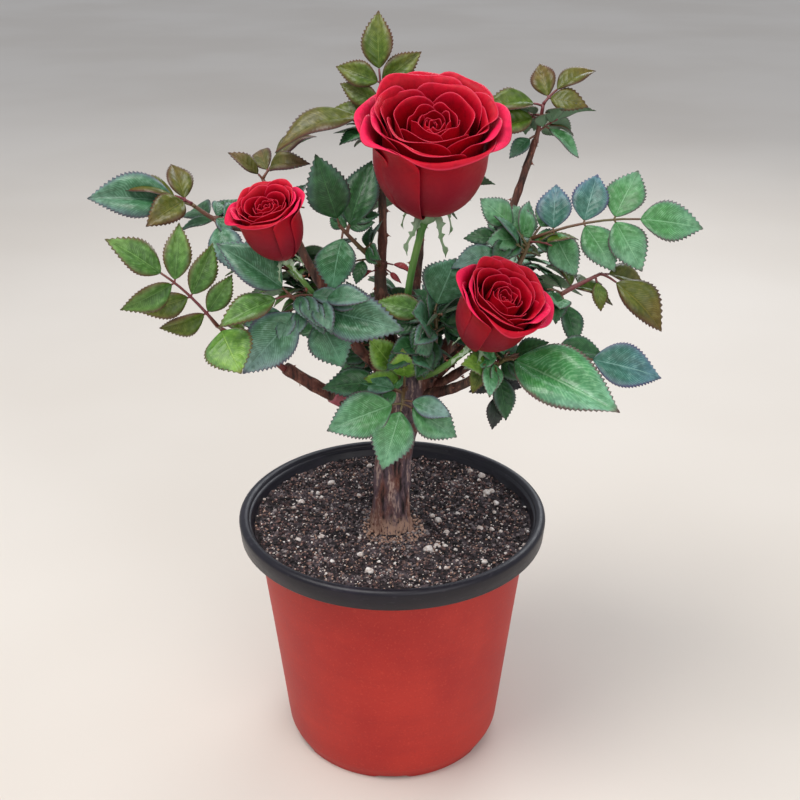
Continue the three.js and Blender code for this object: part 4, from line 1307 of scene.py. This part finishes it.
def sepal_master():
    """A narrow sepal of length 1 along +Y with side lobes."""
    bm = bmesh.new()
    bmesh.ops.create_grid(bm, x_segments=4, y_segments=18, size=1)
    for vert in bm.verts:
        s = (vert.co.y + 1) / 2
        half = 0.085 * (1 - s) ** 0.7 * (0.6 + 0.4 * math.sin(math.pi * min(1, s * 2.2)))
        half += 0.05 * math.exp(-(((s - 0.86) / 0.06) ** 2))
        if abs(vert.co.x) > 0.99 and round(s * 18) in (6, 10):
            half += 0.05
        vert.co = (vert.co.x * half, s, 0.9 * half * vert.co.x ** 2)
    bmesh.ops.solidify(bm, geom=bm.faces[:], thickness=0.02)
    bmesh.ops.recalc_face_normals(bm, faces=bm.faces)
    return Master(bm)


def calyx(tilt, stand, radius, sepal, cluster):
    """The green hip under a bloom and its five sepals, turned down."""
    k = radius / LARGE_RADIUS
    profile = [(0, -7), (2.3, -6.4), (4.4, -4), (4.8, -1.5), (4.2, 0.6), (0, 1.2)]
    hip = Master(spun([(r * k, z * k) for r, z in profile], 16))
    cluster.add(hip, hip.points @ tilt.T + stand)
    x, s, z = sepal.points.T
    for i in range(5):
        angle = radians(72 * i + 20)
        out = np.array([math.cos(angle), math.sin(angle), 0])
        side = np.array([-math.sin(angle), math.cos(angle), 0])
        length = (21 + 4 * math.sin(5 * i)) * k
        curl = 2.2 * k * np.sin(6 * s + 2 * i) * s
        reach = 4.2 * k + length * (0.75 * s - 0.4 * s * s) + z * length * 0.6
        fall = 0.4 * k - length * (0.1 * s + 0.72 * s * s) + z * length * 0.6
        local = np.outer(reach, out) + np.outer(x * length + curl, side) + np.outer(fall, UP)
        cluster.add(sepal, local @ tilt.T + stand)


def make_blooms():
    calyces, sepal = Cluster(), sepal_master()
    for name, tip, radius, *growth in BLOOMS:
        calyx(*bloom(name, tip, radius, *growth), radius, sepal, calyces)
    finish = shoot_finish("sepal_green", "#5f8a54", "#a3b89a", 0.12)
    calyces.piece("sepals_and_hips", [finish], slot="stalk")


# Stage, light and camera

def stage():
    bm = bmesh.new()
    bmesh.ops.create_grid(bm, x_segments=2, y_segments=2, size=12)
    mesh = mesh_of(bm, "floor")
    mesh.materials.append(floor_finish())
    floor = placed("floor", mesh)


def soft_lamp(name, place, aim, size, power, colour):
    lamp = bpy.data.lights.new(name, "AREA")
    lamp.shape = "DISK"
    lamp.size = size
    lamp.energy = power
    lamp.color = colour
    holder = placed(name, lamp)
    holder.location = place
    holder.rotation_euler = (Vector(aim) - Vector(place)).to_track_quat("-Z", "Y").to_euler()


def light():
    bpy.context.scene.view_settings.view_transform = "Standard"
    world = bpy.data.worlds.new("soft_daylight")
    bpy.context.scene.world = world
    world.use_nodes = True
    background = world.node_tree.nodes["Background"]
    background.inputs[0].default_value = (0.86, 0.91, 1.0, 1)
    background.inputs[1].default_value = 0.6
    soft_lamp("lamp_high", (-0.5, -0.35, 1.5), (0, 0, 0.25), 0.9, 16, (1, 0.98, 0.95))
    soft_lamp("lamp_front", (0.7, -1.2, 0.9), (0, 0, 0.2), 1.2, 7, (1, 0.97, 0.94))
    soft_lamp("lamp_back", (0.4, 1.0, 1.0), (0, 0, 0.3), 0.8, 6, (0.93, 0.96, 1))


def stand_camera():
    data = bpy.data.cameras.new("camera")
    data.lens = CAMERA_LENS
    data.sensor_width = 36
    data.clip_start, data.clip_end = 0.01, 20
    camera = placed("camera", data)
    camera.location = CAMERA_PLACE
    camera.rotation_euler = (radians(90 - CAMERA_DOWN), 0, 0)
    bpy.context.scene.camera = camera


# Making: first the finishes and masters that several pieces share

leaf_finishes = [leaf_finish(tint) for tint in TINT_NAMES] + [under_leaf_finish()]
# Each petal finish runs from a darker foot, partly painted shade of the bloom's depths, to a paler lip,
# partly painted highlight
petal_back = petal_finish("petal_back", "#7c1224", "#a0061b", "#cc0726", 0.48, 0.86)
petal_face = petal_finish("petal_face", "#4c0008", "#ac0218", "#c90c2e", 0.4, 0.84)
petal_heart = petal_finish("petal_heart", "#4a000a", "#a80218", "#c00420", 0.42, 0.86)
# the inner face of the outer side petals, pinker and paler: a painted highlight where light falls on them
highlit_petal_face = petal_finish("petal_face_painted_highlight", "#6c0010", "#c80630", "#ee1e56", 0.3, 0.74)

# In pairs: the finish of a petal's own side, then that of the side its thickness adds
petal_finishes = [petal_back, petal_face, petal_heart, petal_face, petal_back, highlit_petal_face]

blade_masters = [blade_master(*grade) for grade in BLADE_GRADES]
stout_tube, slim_tube = tube_master(8, 8), tube_master(6, 6)

make_pot()
make_soil()
trunk_bark()
cane_barks()
prickles()
flower_stalks()
make_blooms()
make_foliage()
stage()
light()
stand_camera()
